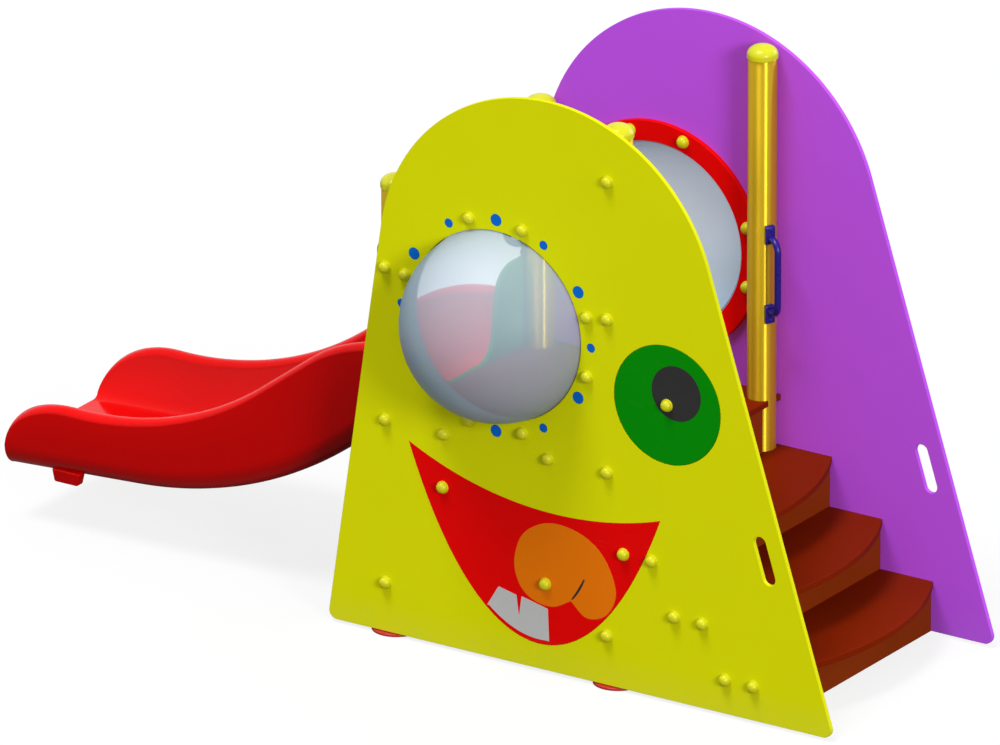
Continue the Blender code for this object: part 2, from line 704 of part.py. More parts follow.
def build_window(side, finishes):
    name = side_name(side)
    inner = DOME_RADIUS - DOME_WALL
    flange = DOME_RADIUS + DOME_FLANGE_WIDTH
    outside = [polar(DOME_RADIUS, math.pi / 2 * (1 - i / DOME_RINGS)) for i in range(DOME_RINGS)]
    inside = [polar(inner, math.pi / 2 * i / DOME_RINGS) for i in range(DOME_RINGS + 1)]
    profile = [(0, DOME_RADIUS), *outside[1:], (DOME_RADIUS, 0), (flange, 0), (flange, -DOME_WALL),
               (inner, -DOME_WALL), *inside[:-1], (0, inner)]
    plane = (0, side * PANEL_INNER_Y, WINDOW_HEIGHT)
    outward = (-side * math.pi / 2, 0, 0)
    piece(f"dome_{name}", turned(profile, WINDOW_STEPS), finishes["clear"], plane, outward, smooth=True)

    # the clamping ring carries its eight through bolts, with a domed cap on each side
    rebate = flange + INLAY_CLEARANCE
    bottom = -(DOME_WALL + TOUCH_GAP)
    profile = [(WINDOW_HOLE_RADIUS, -RING_THICKNESS), (RING_OUTER_RADIUS, -RING_THICKNESS),
               (RING_OUTER_RADIUS, 0), (rebate, 0), (rebate, bottom), (WINDOW_HOLE_RADIUS, bottom)]
    grip = PANEL_THICKNESS + TOUCH_GAP + RING_THICKNESS
    head = bolt_profile(grip, False)[:5]
    tail = [(r, -grip - z) for r, z in reversed(head[:-2])]
    bolt = turned(head + [(BOLT_RADIUS, -grip), (BOLT_CAP_RADIUS, -grip), *tail], BOLT_STEPS)
    head_height = PANEL_OUTER_Y - PANEL_INNER_Y
    bolts = [(bolt, Matrix.Translation((u, v, head_height))) for u, v in ring_bolt_circle()]
    ring = combined(turned(profile, WINDOW_STEPS, closed=True), gathered(bolts), "UNION")
    ring = piece(f"dome_ring_{name}", ring, finishes["red"], plane, outward)
    reach = 2 * RING_OUTER_RADIUS
    relief = rod(NOTCH_RADIUS, WINDOW_HEIGHT - reach, WINDOW_HEIGHT + reach, NOTCH_STEPS)
    reliefs = [(relief, Matrix.Translation((x, side * HALF_Y, 0))) for x in (-HALF_X, HALF_X)]
    cut(ring, f"post_reliefs_{name}", reliefs)


# Posts with their feet, caps and handles

def foot_mesh():
    top = BASE_THICKNESS + BASE_SPIGOT_HEIGHT
    spigot = [(0, top), (PLUG_RADIUS, top), (PLUG_RADIUS, BASE_THICKNESS)]
    return turned([*spigot, (BASE_RADIUS, BASE_THICKNESS), (BASE_RADIUS, 0), (0, 0)], POST_STEPS)


def cap_mesh():
    dome = [(CAP_RIM_RADIUS * math.sin(a), CAP_RIM_HEIGHT + CAP_DOME_HEIGHT * math.cos(a))
            for a in (math.radians(30 * i) for i in range(4))]
    plug = [(PLUG_RADIUS, TOUCH_GAP), (PLUG_RADIUS, -CAP_PLUG_DEPTH), (0, -CAP_PLUG_DEPTH)]
    cap = turned([*dome, (CAP_RIM_RADIUS, TOUCH_GAP), *plug], POST_STEPS)
    # the rim is wider than the post, so it is trimmed flat where it meets the side panel, at +Y
    reach = 2 * CAP_RIM_RADIUS
    beyond = block((-reach, POST_RADIUS, -reach), (reach, reach, reach))
    return combined(cap, beyond, "DIFFERENCE")


def handle_mesh():
    # one moulded grab handle: a bowed bar between two saddle pads, in the frame of its post's axis
    offset = HANDLE_SPACING / 2 - HANDLE_BAR_INSET
    start = POST_RADIUS + HANDLE_PAD_THICKNESS / 2
    path = rounded_path([(start, -offset, 0), (HANDLE_REACH, -offset, HANDLE_BEND_RADIUS),
                         (HANDLE_REACH, offset, HANDLE_BEND_RADIUS), (start, offset, 0)])
    curve = bpy.data.curves.new("bar", "CURVE")
    curve.dimensions = "3D"
    curve.bevel_depth = HANDLE_BAR_RADIUS
    curve.bevel_resolution = 2
    curve.use_fill_caps = True
    spline = curve.splines.new("POLY")
    spline.points.add(len(path) - 1)
    for point, (x, z) in zip(spline.points, path):
        point.co = (x, 0, z, 1)
    bar = evaluated(helper(curve))
    half_width, half_height = HANDLE_PAD_WIDTH / 2, HANDLE_PAD_HEIGHT / 2
    # the pads start inside the post's surface, so that the saddle cut shapes their whole back
    inner, outer = POST_RADIUS - POST_WALL, POST_RADIUS + HANDLE_PAD_THICKNESS
    pad = block((inner, -half_width, -half_height), (outer, half_width, half_height))
    pads = [(pad, Matrix.Translation((0, 0, z))) for z in (-HANDLE_SPACING / 2, HANDLE_SPACING / 2)]
    saddle = rod(POST_RADIUS + TOUCH_GAP * 2, -HANDLE_SPACING, HANDLE_SPACING, POST_STEPS)
    shape = combined(combined(bar, gathered(pads), "UNION"), saddle, "DIFFERENCE")
    stud = rod(SCREW_RADIUS, inner - HANDLE_STUD_REACH, outer - HANDLE_PAD_THICKNESS / 2, HOLE_SIDES)
    studs = [(stud, facing((0, 0, z), (1, 0, 0))) for z in handle_stud_places()]
    return combined(shape, gathered(studs), "UNION")


def handle_stud_places():
    for end in (-1, 1):
        yield end * (HANDLE_SPACING / 2 + HANDLE_STUD_INSET)


def post_mesh(x, side, top, bolt_heights):
    # a tube with the domed bolts that hold it to its side panel and, at the slide end, to the entry panel
    bottom = BASE_THICKNESS + TOUCH_GAP
    inner = POST_RADIUS - POST_WALL
    wall = [(POST_RADIUS, top), (POST_RADIUS, bottom), (inner, bottom), (inner, top)]
    tube = turned(wall, POST_STEPS, closed=True)
    bolt = turned(bolt_profile(POST_GRIP, False), BOLT_STEPS)
    bolts = [(bolt, facing((0, side * (PANEL_OUTER_Y - HALF_Y), z), (0, side, 0))) for z in bolt_heights]
    if x < 0:
        entry_bolt = turned(bolt_profile(ENTRY_GRIP, False), BOLT_STEPS)
        bolts += [(entry_bolt, facing((ENTRY_OUTER_X - x, 0, z), (-1, 0, 0))) for z in ENTRY_BOLT_HEIGHTS]
    return combined(tube, gathered(bolts), "UNION")


def build_posts(finishes):
    foot, cap, handle = foot_mesh(), cap_mesh(), handle_mesh()
    pilot = rod(SCREW_RADIUS + HOLE_CLEARANCE, 0, 2 * POST_RADIUS, HOLE_SIDES)
    for name, x, side, top, bolt_heights, handle_height in post_places():
        place = (x, side * HALF_Y, 0)
        tube = post_mesh(x, side, top, bolt_heights)
        post = piece(f"post_{name}", tube, finishes["post"], place, smooth=True)
        piece(f"base_disc_{name}", foot, finishes["red"], place)
        piece(f"post_cap_{name}", cap, finishes["cap"], (x, side * HALF_Y, top),
              (0, 0, 0 if side > 0 else math.pi), smooth=True)
        ahead = handle_direction(x, side)
        piece(f"handle_{name}", handle, finishes["navy"], (x, side * HALF_Y, handle_height),
              (0, 0, math.atan2(ahead.y, ahead.x)), smooth=True)
        cut(post, f"handle_pilots_{name}",
            [(pilot, facing((*place[:2], handle_height + z), ahead)) for z in handle_stud_places()])


# Deck and steps

def notch(x, side, start, sweep):
    return arc((x, side * HALF_Y), NOTCH_RADIUS, start, sweep)


def deck_outline():
    # a rectangle with each corner cut away round its post
    back, front = ENTRY_INNER_X + TOUCH_GAP, DECK_FRONT_REACH

    def corner(x, side, edge_x):
        # from the end edge to the side edge, round the post's inner side
        end_reach, side_reach = edge_x - x, BOARD_HALF_Y - HALF_Y
        end = math.copysign(1, x)
        start = math.atan2(-side * math.sqrt(NOTCH_RADIUS ** 2 - end_reach ** 2), end_reach)
        last = math.atan2(side * side_reach, -end * math.sqrt(NOTCH_RADIUS ** 2 - side_reach ** 2))
        sweep = (last - start + math.pi) % math.tau - math.pi
        inward = math.atan2(-side, -end)
        middle = (start + sweep / 2 - inward + math.pi) % math.tau - math.pi
        if abs(middle) > math.pi / 2:
            sweep -= math.copysign(math.tau, sweep)
        return notch(x, side, start, sweep)

    return (corner(HALF_X, 1, front) + corner(-HALF_X, 1, back)[::-1]
            + corner(-HALF_X, -1, back) + corner(HALF_X, -1, front)[::-1])


def tread_outline(step):
    # straight back and sides, bowed front; the top tread is notched round the step-end posts
    back = tread_front(step + 1) - NOSING_SETBACK - RISER_THICKNESS
    front = tread_front(step)
    edge = BOARD_HALF_Y
    radius = (edge ** 2 + TREAD_BOW ** 2) / (2 * TREAD_BOW)
    half_sweep = math.asin(edge / radius)
    bow = arc((front + TREAD_BOW - radius, 0), radius, -half_sweep, 2 * half_sweep)
    if back > HALF_X + NOTCH_RADIUS:
        return [(back, -edge), *bow, (back, edge)]
    angle = math.acos((back - HALF_X) / NOTCH_RADIUS)
    near = notch(HALF_X, -1, angle, -angle) + [(HALF_X + NOTCH_RADIUS, -edge)]
    far = [(HALF_X + NOTCH_RADIUS, edge)] + notch(HALF_X, 1, 0, -angle)
    return near + bow + far


def angle_mesh(leg, length, side, upward):
    # an L section along X: one leg on the side panel, the other on the board
    out = side * BOARD_HALF_Y
    face, tip = out - side * ANGLE_WALL, out - side * leg
    top = upward * leg
    wall = upward * ANGLE_WALL
    section = [(out, 0), (out, top), (face, top), (face, wall), (tip, wall), (tip, 0)]
    return flat([section], length)


def bracket_mesh(leg, length, side, upward, bolt_places, screw_places):
    # an angle with its domed bolts through the side panel and its pins into the board; seat at z = 0
    across = ACROSS.to_matrix().to_4x4()
    bolt = turned(bolt_profile(ANGLE_GRIP, False), BOLT_STEPS)
    pin = rod(SCREW_RADIUS, ANGLE_WALL - SCREW_LENGTH, ANGLE_WALL / 2, HOLE_SIDES)
    fixings = [(bolt, facing((x, outer_place(side), z), (0, side, 0))) for x, z in bolt_places]
    fixings += [(pin, facing((x, side * y, 0), (0, 0, upward))) for x, y in screw_places]
    angle = angle_mesh(leg, length, side, upward)
    angle.transform(across)
    return combined(angle, gathered(fixings), "UNION")


def pilot_cutters(screw_places, x, side, seat, upward):
    depth = SCREW_LENGTH - ANGLE_WALL + TOUCH_GAP + HOLE_CLEARANCE
    pilot = rod(SCREW_RADIUS + HOLE_CLEARANCE, -depth, ANGLE_WALL, HOLE_SIDES)
    return [(pilot, facing((x + u, side * y, seat), (0, 0, upward))) for u, y in screw_places]


def build_steps(finishes):
    half_spacing = TREAD_BOLT_SPACING / 2
    bolt_places = [(x, BOARD_THICKNESS + TOUCH_GAP - TREAD_BOLT_DROP) for x in (-half_spacing, half_spacing)]
    screw_places = [(x, BOARD_HALF_Y - TREAD_ANGLE_LEG / 2) for x in (-half_spacing, half_spacing)]
    for step in range(1, STEP_COUNT + 1):
        top = tread_top(step)
        tread = piece(f"tread_{step}", flat([tread_outline(step)], BOARD_THICKNESS), finishes["board"],
                      (0, 0, top - BOARD_THICKNESS / 2))
        middle = tread_front(step) - TREAD_ANGLE_INSET
        seat = top - BOARD_THICKNESS - TOUCH_GAP
        pilots = []
        for side in SIDES:
            mesh = bracket_mesh(TREAD_ANGLE_LEG, TREAD_ANGLE_LENGTH, side, -1, bolt_places, screw_places)
            piece(f"tread_bracket_{step}_{side_name(side)}", mesh, finishes["steel"], (middle, 0, seat))
            pilots += pilot_cutters(screw_places, middle, side, seat, -1)
        cut(tread, f"tread_pilots_{step}", pilots)

    for step in range(1, STEP_COUNT + 2):
        bottom = PANEL_GROUND_GAP if step == 1 else tread_top(step - 1) + TOUCH_GAP
        top = tread_top(step) - BOARD_THICKNESS - TOUCH_GAP
        half = BOARD_HALF_Y if step <= STEP_COUNT else HALF_Y - NOTCH_RADIUS
        front = tread_front(step) - NOSING_SETBACK
        piece(f"riser_{step}", block((-RISER_THICKNESS, -half, bottom), (0, half, top)), finishes["riser"],
              (front, 0, 0))


def build_deck(finishes):
    deck = piece("deck_board", flat([deck_outline()], BOARD_THICKNESS), finishes["board"],
                 (0, 0, DECK_TOP - BOARD_THICKNESS / 2))
    seat = DECK_TOP + TOUCH_GAP
    bolt_places = [(0, DECK_BOLT_RISE - TOUCH_GAP)]
    screw_places = [(0, BOARD_HALF_Y - DECK_SCREW_INSET)]
    pilots = []
    for side in SIDES:
        for end, x in (("slide", -DECK_ANGLE_OFFSET), ("step", DECK_ANGLE_OFFSET)):
            mesh = bracket_mesh(DECK_ANGLE_LEG, DECK_ANGLE_LENGTH, side, 1, bolt_places, screw_places)
            piece(f"deck_bracket_{end}_{side_name(side)}", mesh, finishes["steel"], (x, 0, seat))
            pilots += pilot_cutters(screw_places, x, side, seat, 1)
    cut(deck, "deck_pilots", pilots)


# Slide end

def entry_outline():
    edge = BOARD_HALF_Y
    bottom = DECK_TOP - ENTRY_SKIRT
    corners = [(-edge, bottom, 0), (edge, bottom, 0), (edge, ENTRY_TOP, ENTRY_CORNER_RADIUS),
               (ENTRY_OPENING_TOP_HALF, ENTRY_TOP, ENTRY_SHOULDER_RADIUS),
               (ENTRY_OPENING_FLOOR_HALF, DECK_TOP, ENTRY_OPENING_RADIUS)]
    return rounded(corners + [(-u, v, radius) for u, v, radius in reversed(corners[2:])])


def nose_steps():
    # distance from the exit and drop below the crest line, from the exit up to the crest
    for i in range(CHUTE_NOSE_STEPS + 1):
        angle = math.pi / 2 * i / CHUTE_NOSE_STEPS
        yield CHUTE_NOSE_LENGTH * (1 - math.cos(angle)), CHUTE_NOSE_DROP * (1 - math.sin(angle))


def chute_paths():
    # floor and crest of the chute's wall in side view, from the entry (x = 0) towards -X
    lip = CHUTE_LIP_RADIUS
    floor = arc((0, DECK_TOP - lip), lip, math.pi / 2, CHUTE_ANGLE)
    along = Vector((-math.cos(CHUTE_ANGLE), -math.sin(CHUTE_ANGLE)))
    knee = Vector(floor[-1]) + along * CHUTE_STRAIGHT
    upward = Vector((-math.sin(CHUTE_ANGLE), math.cos(CHUTE_ANGLE)))
    sweep_centre = knee + upward * CHUTE_SWEEP_RADIUS
    start = math.atan2(-upward.y, -upward.x)
    floor += arc(sweep_centre, CHUTE_SWEEP_RADIUS, start, CHUTE_RUNOUT_ANGLE - CHUTE_ANGLE)
    runout = Vector((-math.cos(CHUTE_RUNOUT_ANGLE), -math.sin(CHUTE_RUNOUT_ANGLE))) * CHUTE_RUNOUT
    exit_point = Vector(floor[-1]) + runout
    floor.append(tuple(exit_point))

    crest_top = DECK_TOP + CHUTE_ENTRY_WALL
    exit_crest = exit_point.y + CHUTE_EXIT_WALL
    # the steep crest line meets the one that rises gently to the exit
    steep, gentle = math.tan(CHUTE_CREST_ANGLE), math.tan(CHUTE_CREST_RISE)
    shoulder_x = -CHUTE_SHOULDER
    valley_x = (exit_crest - crest_top + gentle * exit_point.x + steep * shoulder_x) / (steep + gentle)
    valley = (valley_x, crest_top + steep * (valley_x - shoulder_x))
    nose = [(exit_point.x + s, exit_crest - gentle * s - drop) for s, drop in reversed(list(nose_steps()))]
    crest = rounded_path([(0, crest_top, 0), (shoulder_x, crest_top, CHUTE_SHOULDER_RADIUS),
                          (*valley, CHUTE_CREST_SWEEP), nose[0]])
    return floor, crest + nose[1:]


def height_at(path, x):
    points = sorted(path)
    return float(np.interp(x, [p[0] for p in points], [p[1] for p in points]))


def chute_underside(x, floor_path):
    along = x / floor_path[-1][0]
    return height_at(floor_path, x) - CHUTE_FLOOR - (CHUTE_EXIT_FLOOR - CHUTE_FLOOR) * along


def chute_section(x, floor_path, crest_path, skin=0.0, detail=1):
    # half of the section at this x, from the middle of the underside round to the middle of the floor;
    # with a skin it is the section of the hollow inside
    floor, crest = height_at(floor_path, x), height_at(crest_path, x)
    underside = chute_underside(x, floor_path)
    outer, foot = CHUTE_WIDTH / 2, CHUTE_WALL_FOOT
    roll = min(CHUTE_WALL / 2, CHUTE_ROLL_SHARE * (crest - floor))
    rise = crest - roll - floor
    inner = min(outer - CHUTE_WALL, foot + rise * math.tan(CHUTE_WALL_LEAN))
    slope = math.atan2(rise, inner - foot)
    face = math.hypot(rise, inner - foot)
    fillet = min(CHUTE_FILLET_RADIUS, CHUTE_FILLET_SHARE * face / math.tan(slope / 2))
    fillet_y = foot - fillet * math.tan(slope / 2)
    lower = min(CHUTE_OUTER_RADIUS, crest - roll - underside)
    # corners: centre, radii across and up, first angle, sweep, segments
    quarter = math.pi / 2
    corners = [((outer - lower, underside + lower), lower - skin, lower - skin, -quarter, quarter, 3),
               (((outer + inner) / 2, crest - roll), (outer - inner) / 2 - skin, roll - skin, 0, math.pi, 6),
               ((fillet_y, floor + fillet), fillet + skin, fillet + skin, slope - quarter, -slope, 3)]
    half = [(0, underside + skin)]
    for (y, z), across, up, start, sweep, count in corners:
        segments = max(2, count // detail)
        half += [(y + across * math.cos(start + sweep * i / segments),
                  z + up * math.sin(start + sweep * i / segments)) for i in range(segments + 1)]
    return half + [(0, floor - skin)]


def lofted(stations, section):
    # a closed body through the whole sections at these x, each from its half
    mesh = bpy.data.meshes.new("loft")
    bm = bmesh.new()
    loops = []
    for x in stations:
        half = section(x)
        whole = half + [(-y, z) for y, z in reversed(half[1:-1])]
        loops.append([bm.verts.new((x, y, z)) for y, z in whole])
    for first, second in zip(loops, loops[1:]):
        for i in range(len(first)):
            j = (i + 1) % len(first)
            bm.faces.new((first[i], first[j], second[j], second[i]))
    bm.faces.new(loops[0])
    bm.faces.new(reversed(loops[-1]))
    bm.to_mesh(mesh)
    bm.free()
    return tidy(mesh)


def chute_mesh():
    floor, crest = chute_paths()
    length = -floor[-1][0]
    # stations close together round the entry lip and the nose, wider between
    nose = [s for s, drop in nose_steps()]
    lip = [CHUTE_LIP_RADIUS * math.sin(CHUTE_ANGLE) * i / 3 for i in range(4)]
    middle = np.linspace(lip[-1], length - nose[-1], 15)[1:-1]
    stations = [-s for s in (*lip, *middle, *(length - s for s in reversed(nose)))]
    body = lofted(stations, lambda x: chute_section(x, floor, crest))
    hollow_stations = -np.linspace(CHUTE_ENTRY_THICKNESS, length - CHUTE_NOSE_THICKNESS, 14)
    hollow = lofted(hollow_stations, lambda x: chute_section(x, floor, crest, CHUTE_SKIN, 2))
    # the hollow's vent opens through the underside
    vent_x = -(length - CHUTE_VENT_FROM_EXIT)
    underside = chute_underside(vent_x, floor)
    vent = rod(CHUTE_VENT_RADIUS, underside - CHUTE_SKIN, underside + CHUTE_FLOOR / 2, PIVOT_STEPS)
    vent.transform(Matrix.Translation((vent_x, 0, 0)))
    return combined(combined(body, hollow, "DIFFERENCE"), vent, "DIFFERENCE")


def lug_meshes():
    # moulded feet below the exit
    floor = chute_paths()[0]
    x = floor[-1][0] + LUG_FROM_EXIT + LUG_LENGTH / 2
    underside = chute_underside(x, floor)
    foot = LUG_LENGTH / 2
    root = foot + LUG_TAPER
    outline = [(-foot, -LUG_DEPTH), (foot, -LUG_DEPTH), (root, 0), (root, CHUTE_FLOOR / 2),
               (-root, CHUTE_FLOOR / 2), (-root, 0)]
    lug = flat([outline], LUG_WIDTH)
    for side in SIDES:
        y = side * (CHUTE_WIDTH / 2 - LUG_INSET - LUG_WIDTH / 2)
        yield lug, Matrix.Translation((x, y, underside)) @ Matrix.Rotation(math.pi / 2, 4, "X")


def build_slide(finishes):
    bolt = turned(flat_bolt_profile(ENTRY_THICKNESS + TOUCH_GAP + CHUTE_BOLT_DEPTH), PIVOT_STEPS)
    hole = rod(HOLE_RADIUS, -CHUTE_BOLT_DEPTH - HOLE_CLEARANCE, ENTRY_THICKNESS / 2, HOLE_SIDES)
    panel_holes = [circle((side * HALF_Y, z), HOLE_RADIUS, HOLE_SIDES)
                   for side in SIDES for z in ENTRY_BOLT_HEIGHTS]
    chute_holes = []
    y = (CHUTE_WIDTH - CHUTE_WALL) / 2
    for side in SIDES:
        for level, rise in zip(("low", "high"), CHUTE_BOLT_HEIGHTS):
            z = DECK_TOP + rise
            panel_holes.append(circle((side * y, z), HOLE_RADIUS, HOLE_SIDES))
            chute_holes.append((hole, facing((CHUTE_START_X, side * y, z), (1, 0, 0))))
            piece(f"slide_bolt_{level}_{side_name(side)}", bolt, finishes["green"],
                  (ENTRY_INNER_X, side * y, z), (0, math.pi / 2, 0), smooth=True)
    piece("slide_entry_panel", flat([entry_outline(), *panel_holes], ENTRY_THICKNESS), finishes["green"],
          ((ENTRY_INNER_X + ENTRY_OUTER_X) / 2, 0, 0), ACROSS)
    body = combined(chute_mesh(), gathered(list(lug_meshes())), "UNION")
    chute = piece("slide_chute", body, finishes["slide"], (CHUTE_START_X, 0, 0), smooth=True)
    cut(chute, "chute_holes", chute_holes)


def build():
    finishes = {
        "yellow": material("yellow_board", (0.60, 0.63, 0.0), 0.45),
        "purple": material("purple_board", (0.39, 0.06, 0.61), 0.45),
        "red": material("red_board", (0.63, 0.0, 0.0), 0.45),
        "green": material("green_board", (0.0, 0.216, 0.0), 0.45),
        "black": material("dark_board", (0.03, 0.03, 0.03), 0.45),
        "grey": material("grey_board", (0.45, 0.45, 0.45), 0.45),
        "orange": material("orange_board", (0.61, 0.14, 0.0), 0.45),
        "board": material("brown_board", (0.21, 0.012, 0.0), 0.5),
        "riser": material("brown_riser", (0.24, 0.026, 0.006), 0.5),
        "slide": material("red_slide", (0.78, 0.004, 0.004), 0.3),
        "post": material("yellow_post", (0.86, 0.62, 0.08), 0.35),
        "cap": material("yellow_cap", (0.95, 0.93, 0.02), 0.35),
        "navy": material("navy_handle", (0.016, 0.007, 0.19), 0.35),
        "clear": material("clear_dome", (0.78, 0.83, 0.90), 0.05, alpha=0.35),
        "steel": material("zinc_steel", (0.55, 0.56, 0.57), 0.4, metallic=1.0),
    }
    near = build_panel(-1, finishes["yellow"])
    build_panel(1, finishes["purple"])
    build_near_face(near, finishes)
    for side in SIDES:
        build_window(side, finishes)
    build_posts(finishes)
    build_deck(finishes)
    build_steps(finishes)
    build_slide(finishes)
    bpy.context.view_layer.update()


for old in list(bpy.data.objects):
    bpy.data.objects.remove(old)
parts = collection("playground_slide")
cutters = collection("cutters")
exit_reach = CHUTE_START_X + chute_paths()[0][-1][0]
centre = bpy.data.objects.new("deck_centre", None)
parts.objects.link(centre)
centre.location = (-(max(u for u, v in panel_outline()) + exit_reach) / 2, 0, 0)
build()
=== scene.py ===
import bmesh
import bpy
import math
from itertools import product
from mathutils import Matrix, Vector
from mathutils.geometry import interpolate_bezier


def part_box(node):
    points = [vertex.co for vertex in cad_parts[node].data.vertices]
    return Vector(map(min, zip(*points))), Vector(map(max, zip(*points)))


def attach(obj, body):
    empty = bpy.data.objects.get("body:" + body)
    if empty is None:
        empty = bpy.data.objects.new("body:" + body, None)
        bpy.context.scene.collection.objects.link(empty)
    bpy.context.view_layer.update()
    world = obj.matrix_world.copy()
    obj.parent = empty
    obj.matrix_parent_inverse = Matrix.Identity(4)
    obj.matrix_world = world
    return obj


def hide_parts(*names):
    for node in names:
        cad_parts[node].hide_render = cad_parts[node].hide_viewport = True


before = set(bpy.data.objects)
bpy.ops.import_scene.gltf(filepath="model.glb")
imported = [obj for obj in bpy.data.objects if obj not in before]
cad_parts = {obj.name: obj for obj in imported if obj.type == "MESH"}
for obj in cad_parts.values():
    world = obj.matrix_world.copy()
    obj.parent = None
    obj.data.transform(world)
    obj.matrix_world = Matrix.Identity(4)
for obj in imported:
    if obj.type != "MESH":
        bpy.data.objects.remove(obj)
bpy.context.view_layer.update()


def middleX(node):
    low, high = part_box(node)
    return (low.x + high.x) / 2


# the posts' axes give the deck's centre; every piece is built about it
postX = {end: middleX(f"base_disc_{end}_near") for end in ("slide", "step")}
deckX = (postX["slide"] + postX["step"]) / 2
fit = {
    "halfX": 0.400, "halfY": 0.400, "postRadius": 0.045, "innerFace": 0.445, "outerFace": 0.4603,
    "deckTop": 0.666, "rise": 0.164, "groundGap": 0.010, "windowHeight": 1.090,
    "touch": 0.0003, "arcSag": 0.00006, "merge": 0.00001,
}
sides = {"near": -1, "far": 1}
print("frame loaded, deck centre at x", round(deckX, 4))


def at(x, y, z):
    return Matrix.Translation((x, y, z))


def fill(tree, node, inputs):
    # links sockets and sets plain values
    for name, value in inputs.items():
        if isinstance(value, bpy.types.NodeSocket):
            tree.links.new(value, node.inputs[name])
        else:
            node.inputs[name].default_value = value


def addNode(tree, kind, inputs=None, **settings):
    node = tree.nodes.new("ShaderNode" + kind)
    for name, value in settings.items():
        setattr(node, name, value)
    fill(tree, node, inputs or {})
    return node


def startMaterial(name, roughness, gloss):
    made = bpy.data.materials.new(name)
    made.use_nodes = True
    tree = made.node_tree
    shader = tree.nodes["Principled BSDF"]
    fill(tree, shader, {"Roughness": roughness, "Specular IOR Level": gloss})
    return made, tree, shader


def addNoise(tree, scale, detail=3.0, roughness=0.5, stretch=(1, 1, 1)):
    place = addNode(tree, "TexCoord")
    mapping = addNode(tree, "Mapping", {"Vector": place.outputs["Object"], "Scale": stretch})
    noise = addNode(tree, "TexNoise", {"Vector": mapping.outputs["Vector"], "Scale": scale, "Detail": detail,
                                       "Roughness": roughness})
    return noise.outputs["Fac"]


def addRange(tree, value, low, high, toLow, toHigh):
    ranged = addNode(tree, "MapRange", {"Value": value, "From Min": low, "From Max": high, "To Min": toLow,
                                        "To Max": toHigh})
    return ranged.outputs["Result"]


def spread(tree, noise, toLow, toHigh):
    # nearly all of a noise's span, so that it is never cut off in a line
    return addRange(tree, noise, 0.1, 0.9, toLow, toHigh)


def shade(colour, factor, lift=0.0):
    return tuple(min(1, c * factor + lift) for c in colour)


def addMix(tree, amount, first, second):
    mix = addNode(tree, "Mix", {"Factor": amount}, data_type="RGBA")
    fill(tree, mix, {name: (*value, 1) if isinstance(value, tuple) else value
                     for name, value in (("A", first), ("B", second))})
    return mix.outputs["Result"]


def addTint(tree, noise, colour, low, high):
    # a colour that drifts between two shades of itself
    return addMix(tree, spread(tree, noise, 0, 1), shade(colour, low), shade(colour, high))


def addWear(tree, noise, skin, roughness=None):
    # a roughness that drifts within the skin's span
    base = skin["roughness"] if roughness is None else roughness
    low, high = skin["span"]
    return spread(tree, noise, base + low, base + high)


def addBump(tree, shader, height, distance, strength):
    bump = addNode(tree, "Bump", {"Height": height, "Distance": distance, "Strength": strength})
    fill(tree, shader, {"Normal": bump.outputs["Normal"]})


def addDust(tree, colour, dustColour, height):
    # dust that thins out upwards from the ground
    place = addNode(tree, "TexCoord")
    split = addNode(tree, "SeparateXYZ", {"Vector": place.outputs["Object"]})
    rise = addRange(tree, split.outputs["Z"], 0, height, dust["share"], 0)
    cloud = addNoise(tree, scale=22, detail=5)
    patchy = addNode(tree, "Math", {0: rise, 1: cloud}, operation="MULTIPLY")
    return addMix(tree, patchy.outputs["Value"], colour, dustColour)


dust = {"share": 0.10, "boardColour": (0.42, 0.36, 0.27), "boardHeight": 0.12,
        "coatColour": (0.40, 0.33, 0.22), "coatHeight": 0.08}
skins = {
    "board": {"roughness": 0.5, "span": (-0.05, 0.07), "gloss": 0.05, "variation": 0.016, "scuff": 0.07,
              "grain": 620, "depth": 0.00025},
    "slide": {"roughness": 0.14, "span": (-0.02, 0.02), "gloss": 0.13, "cloud": 0.08, "wave": 16,
              "depth": 0.0006},
    "coat": {"span": (-0.04, 0.06), "gloss": 0.4, "peel": 260, "depth": 0.00004},
    "moulded": {"roughness": 0.28, "gloss": 0.3, "grain": 900, "depth": 0.00005},
    "tread": {"gloss": 0.015, "grit": 0.22, "pebble": 210, "depth": 0.0007},
    "zinc": {"roughness": 0.38, "gloss": 0.5, "depth": 0.0001},
    "clear": {"roughness": 0.3, "span": (0.04, 0.14), "blend": 0.35, "thin": 0.36, "dense": 0.78},
}


def boardFinish(name, colour):
    # moulded polyethylene sheet: pebbled skin, faint clouding and a few fine scuffs
    skin = skins["board"]
    made, tree, shader = startMaterial(name, skin["roughness"], skin["gloss"])
    cloud = addNoise(tree, scale=5, detail=4)
    base = addTint(tree, cloud, colour, 1 - skin["variation"], 1 + skin["variation"])
    lines = addNoise(tree, scale=9, detail=2, roughness=0.4, stretch=(1, 6, 14))
    worn = addRange(tree, lines, 0.66, 0.74, 0, skin["scuff"])
    base = addMix(tree, worn, base, shade(colour, 0.85, lift=0.06))
    fill(tree, shader, {
        "Base Color": addDust(tree, base, dust["boardColour"], dust["boardHeight"]),
        "Roughness": addWear(tree, cloud, skin)})
    addBump(tree, shader, addNoise(tree, skin["grain"], detail=2), skin["depth"], strength=0.5)
    return made


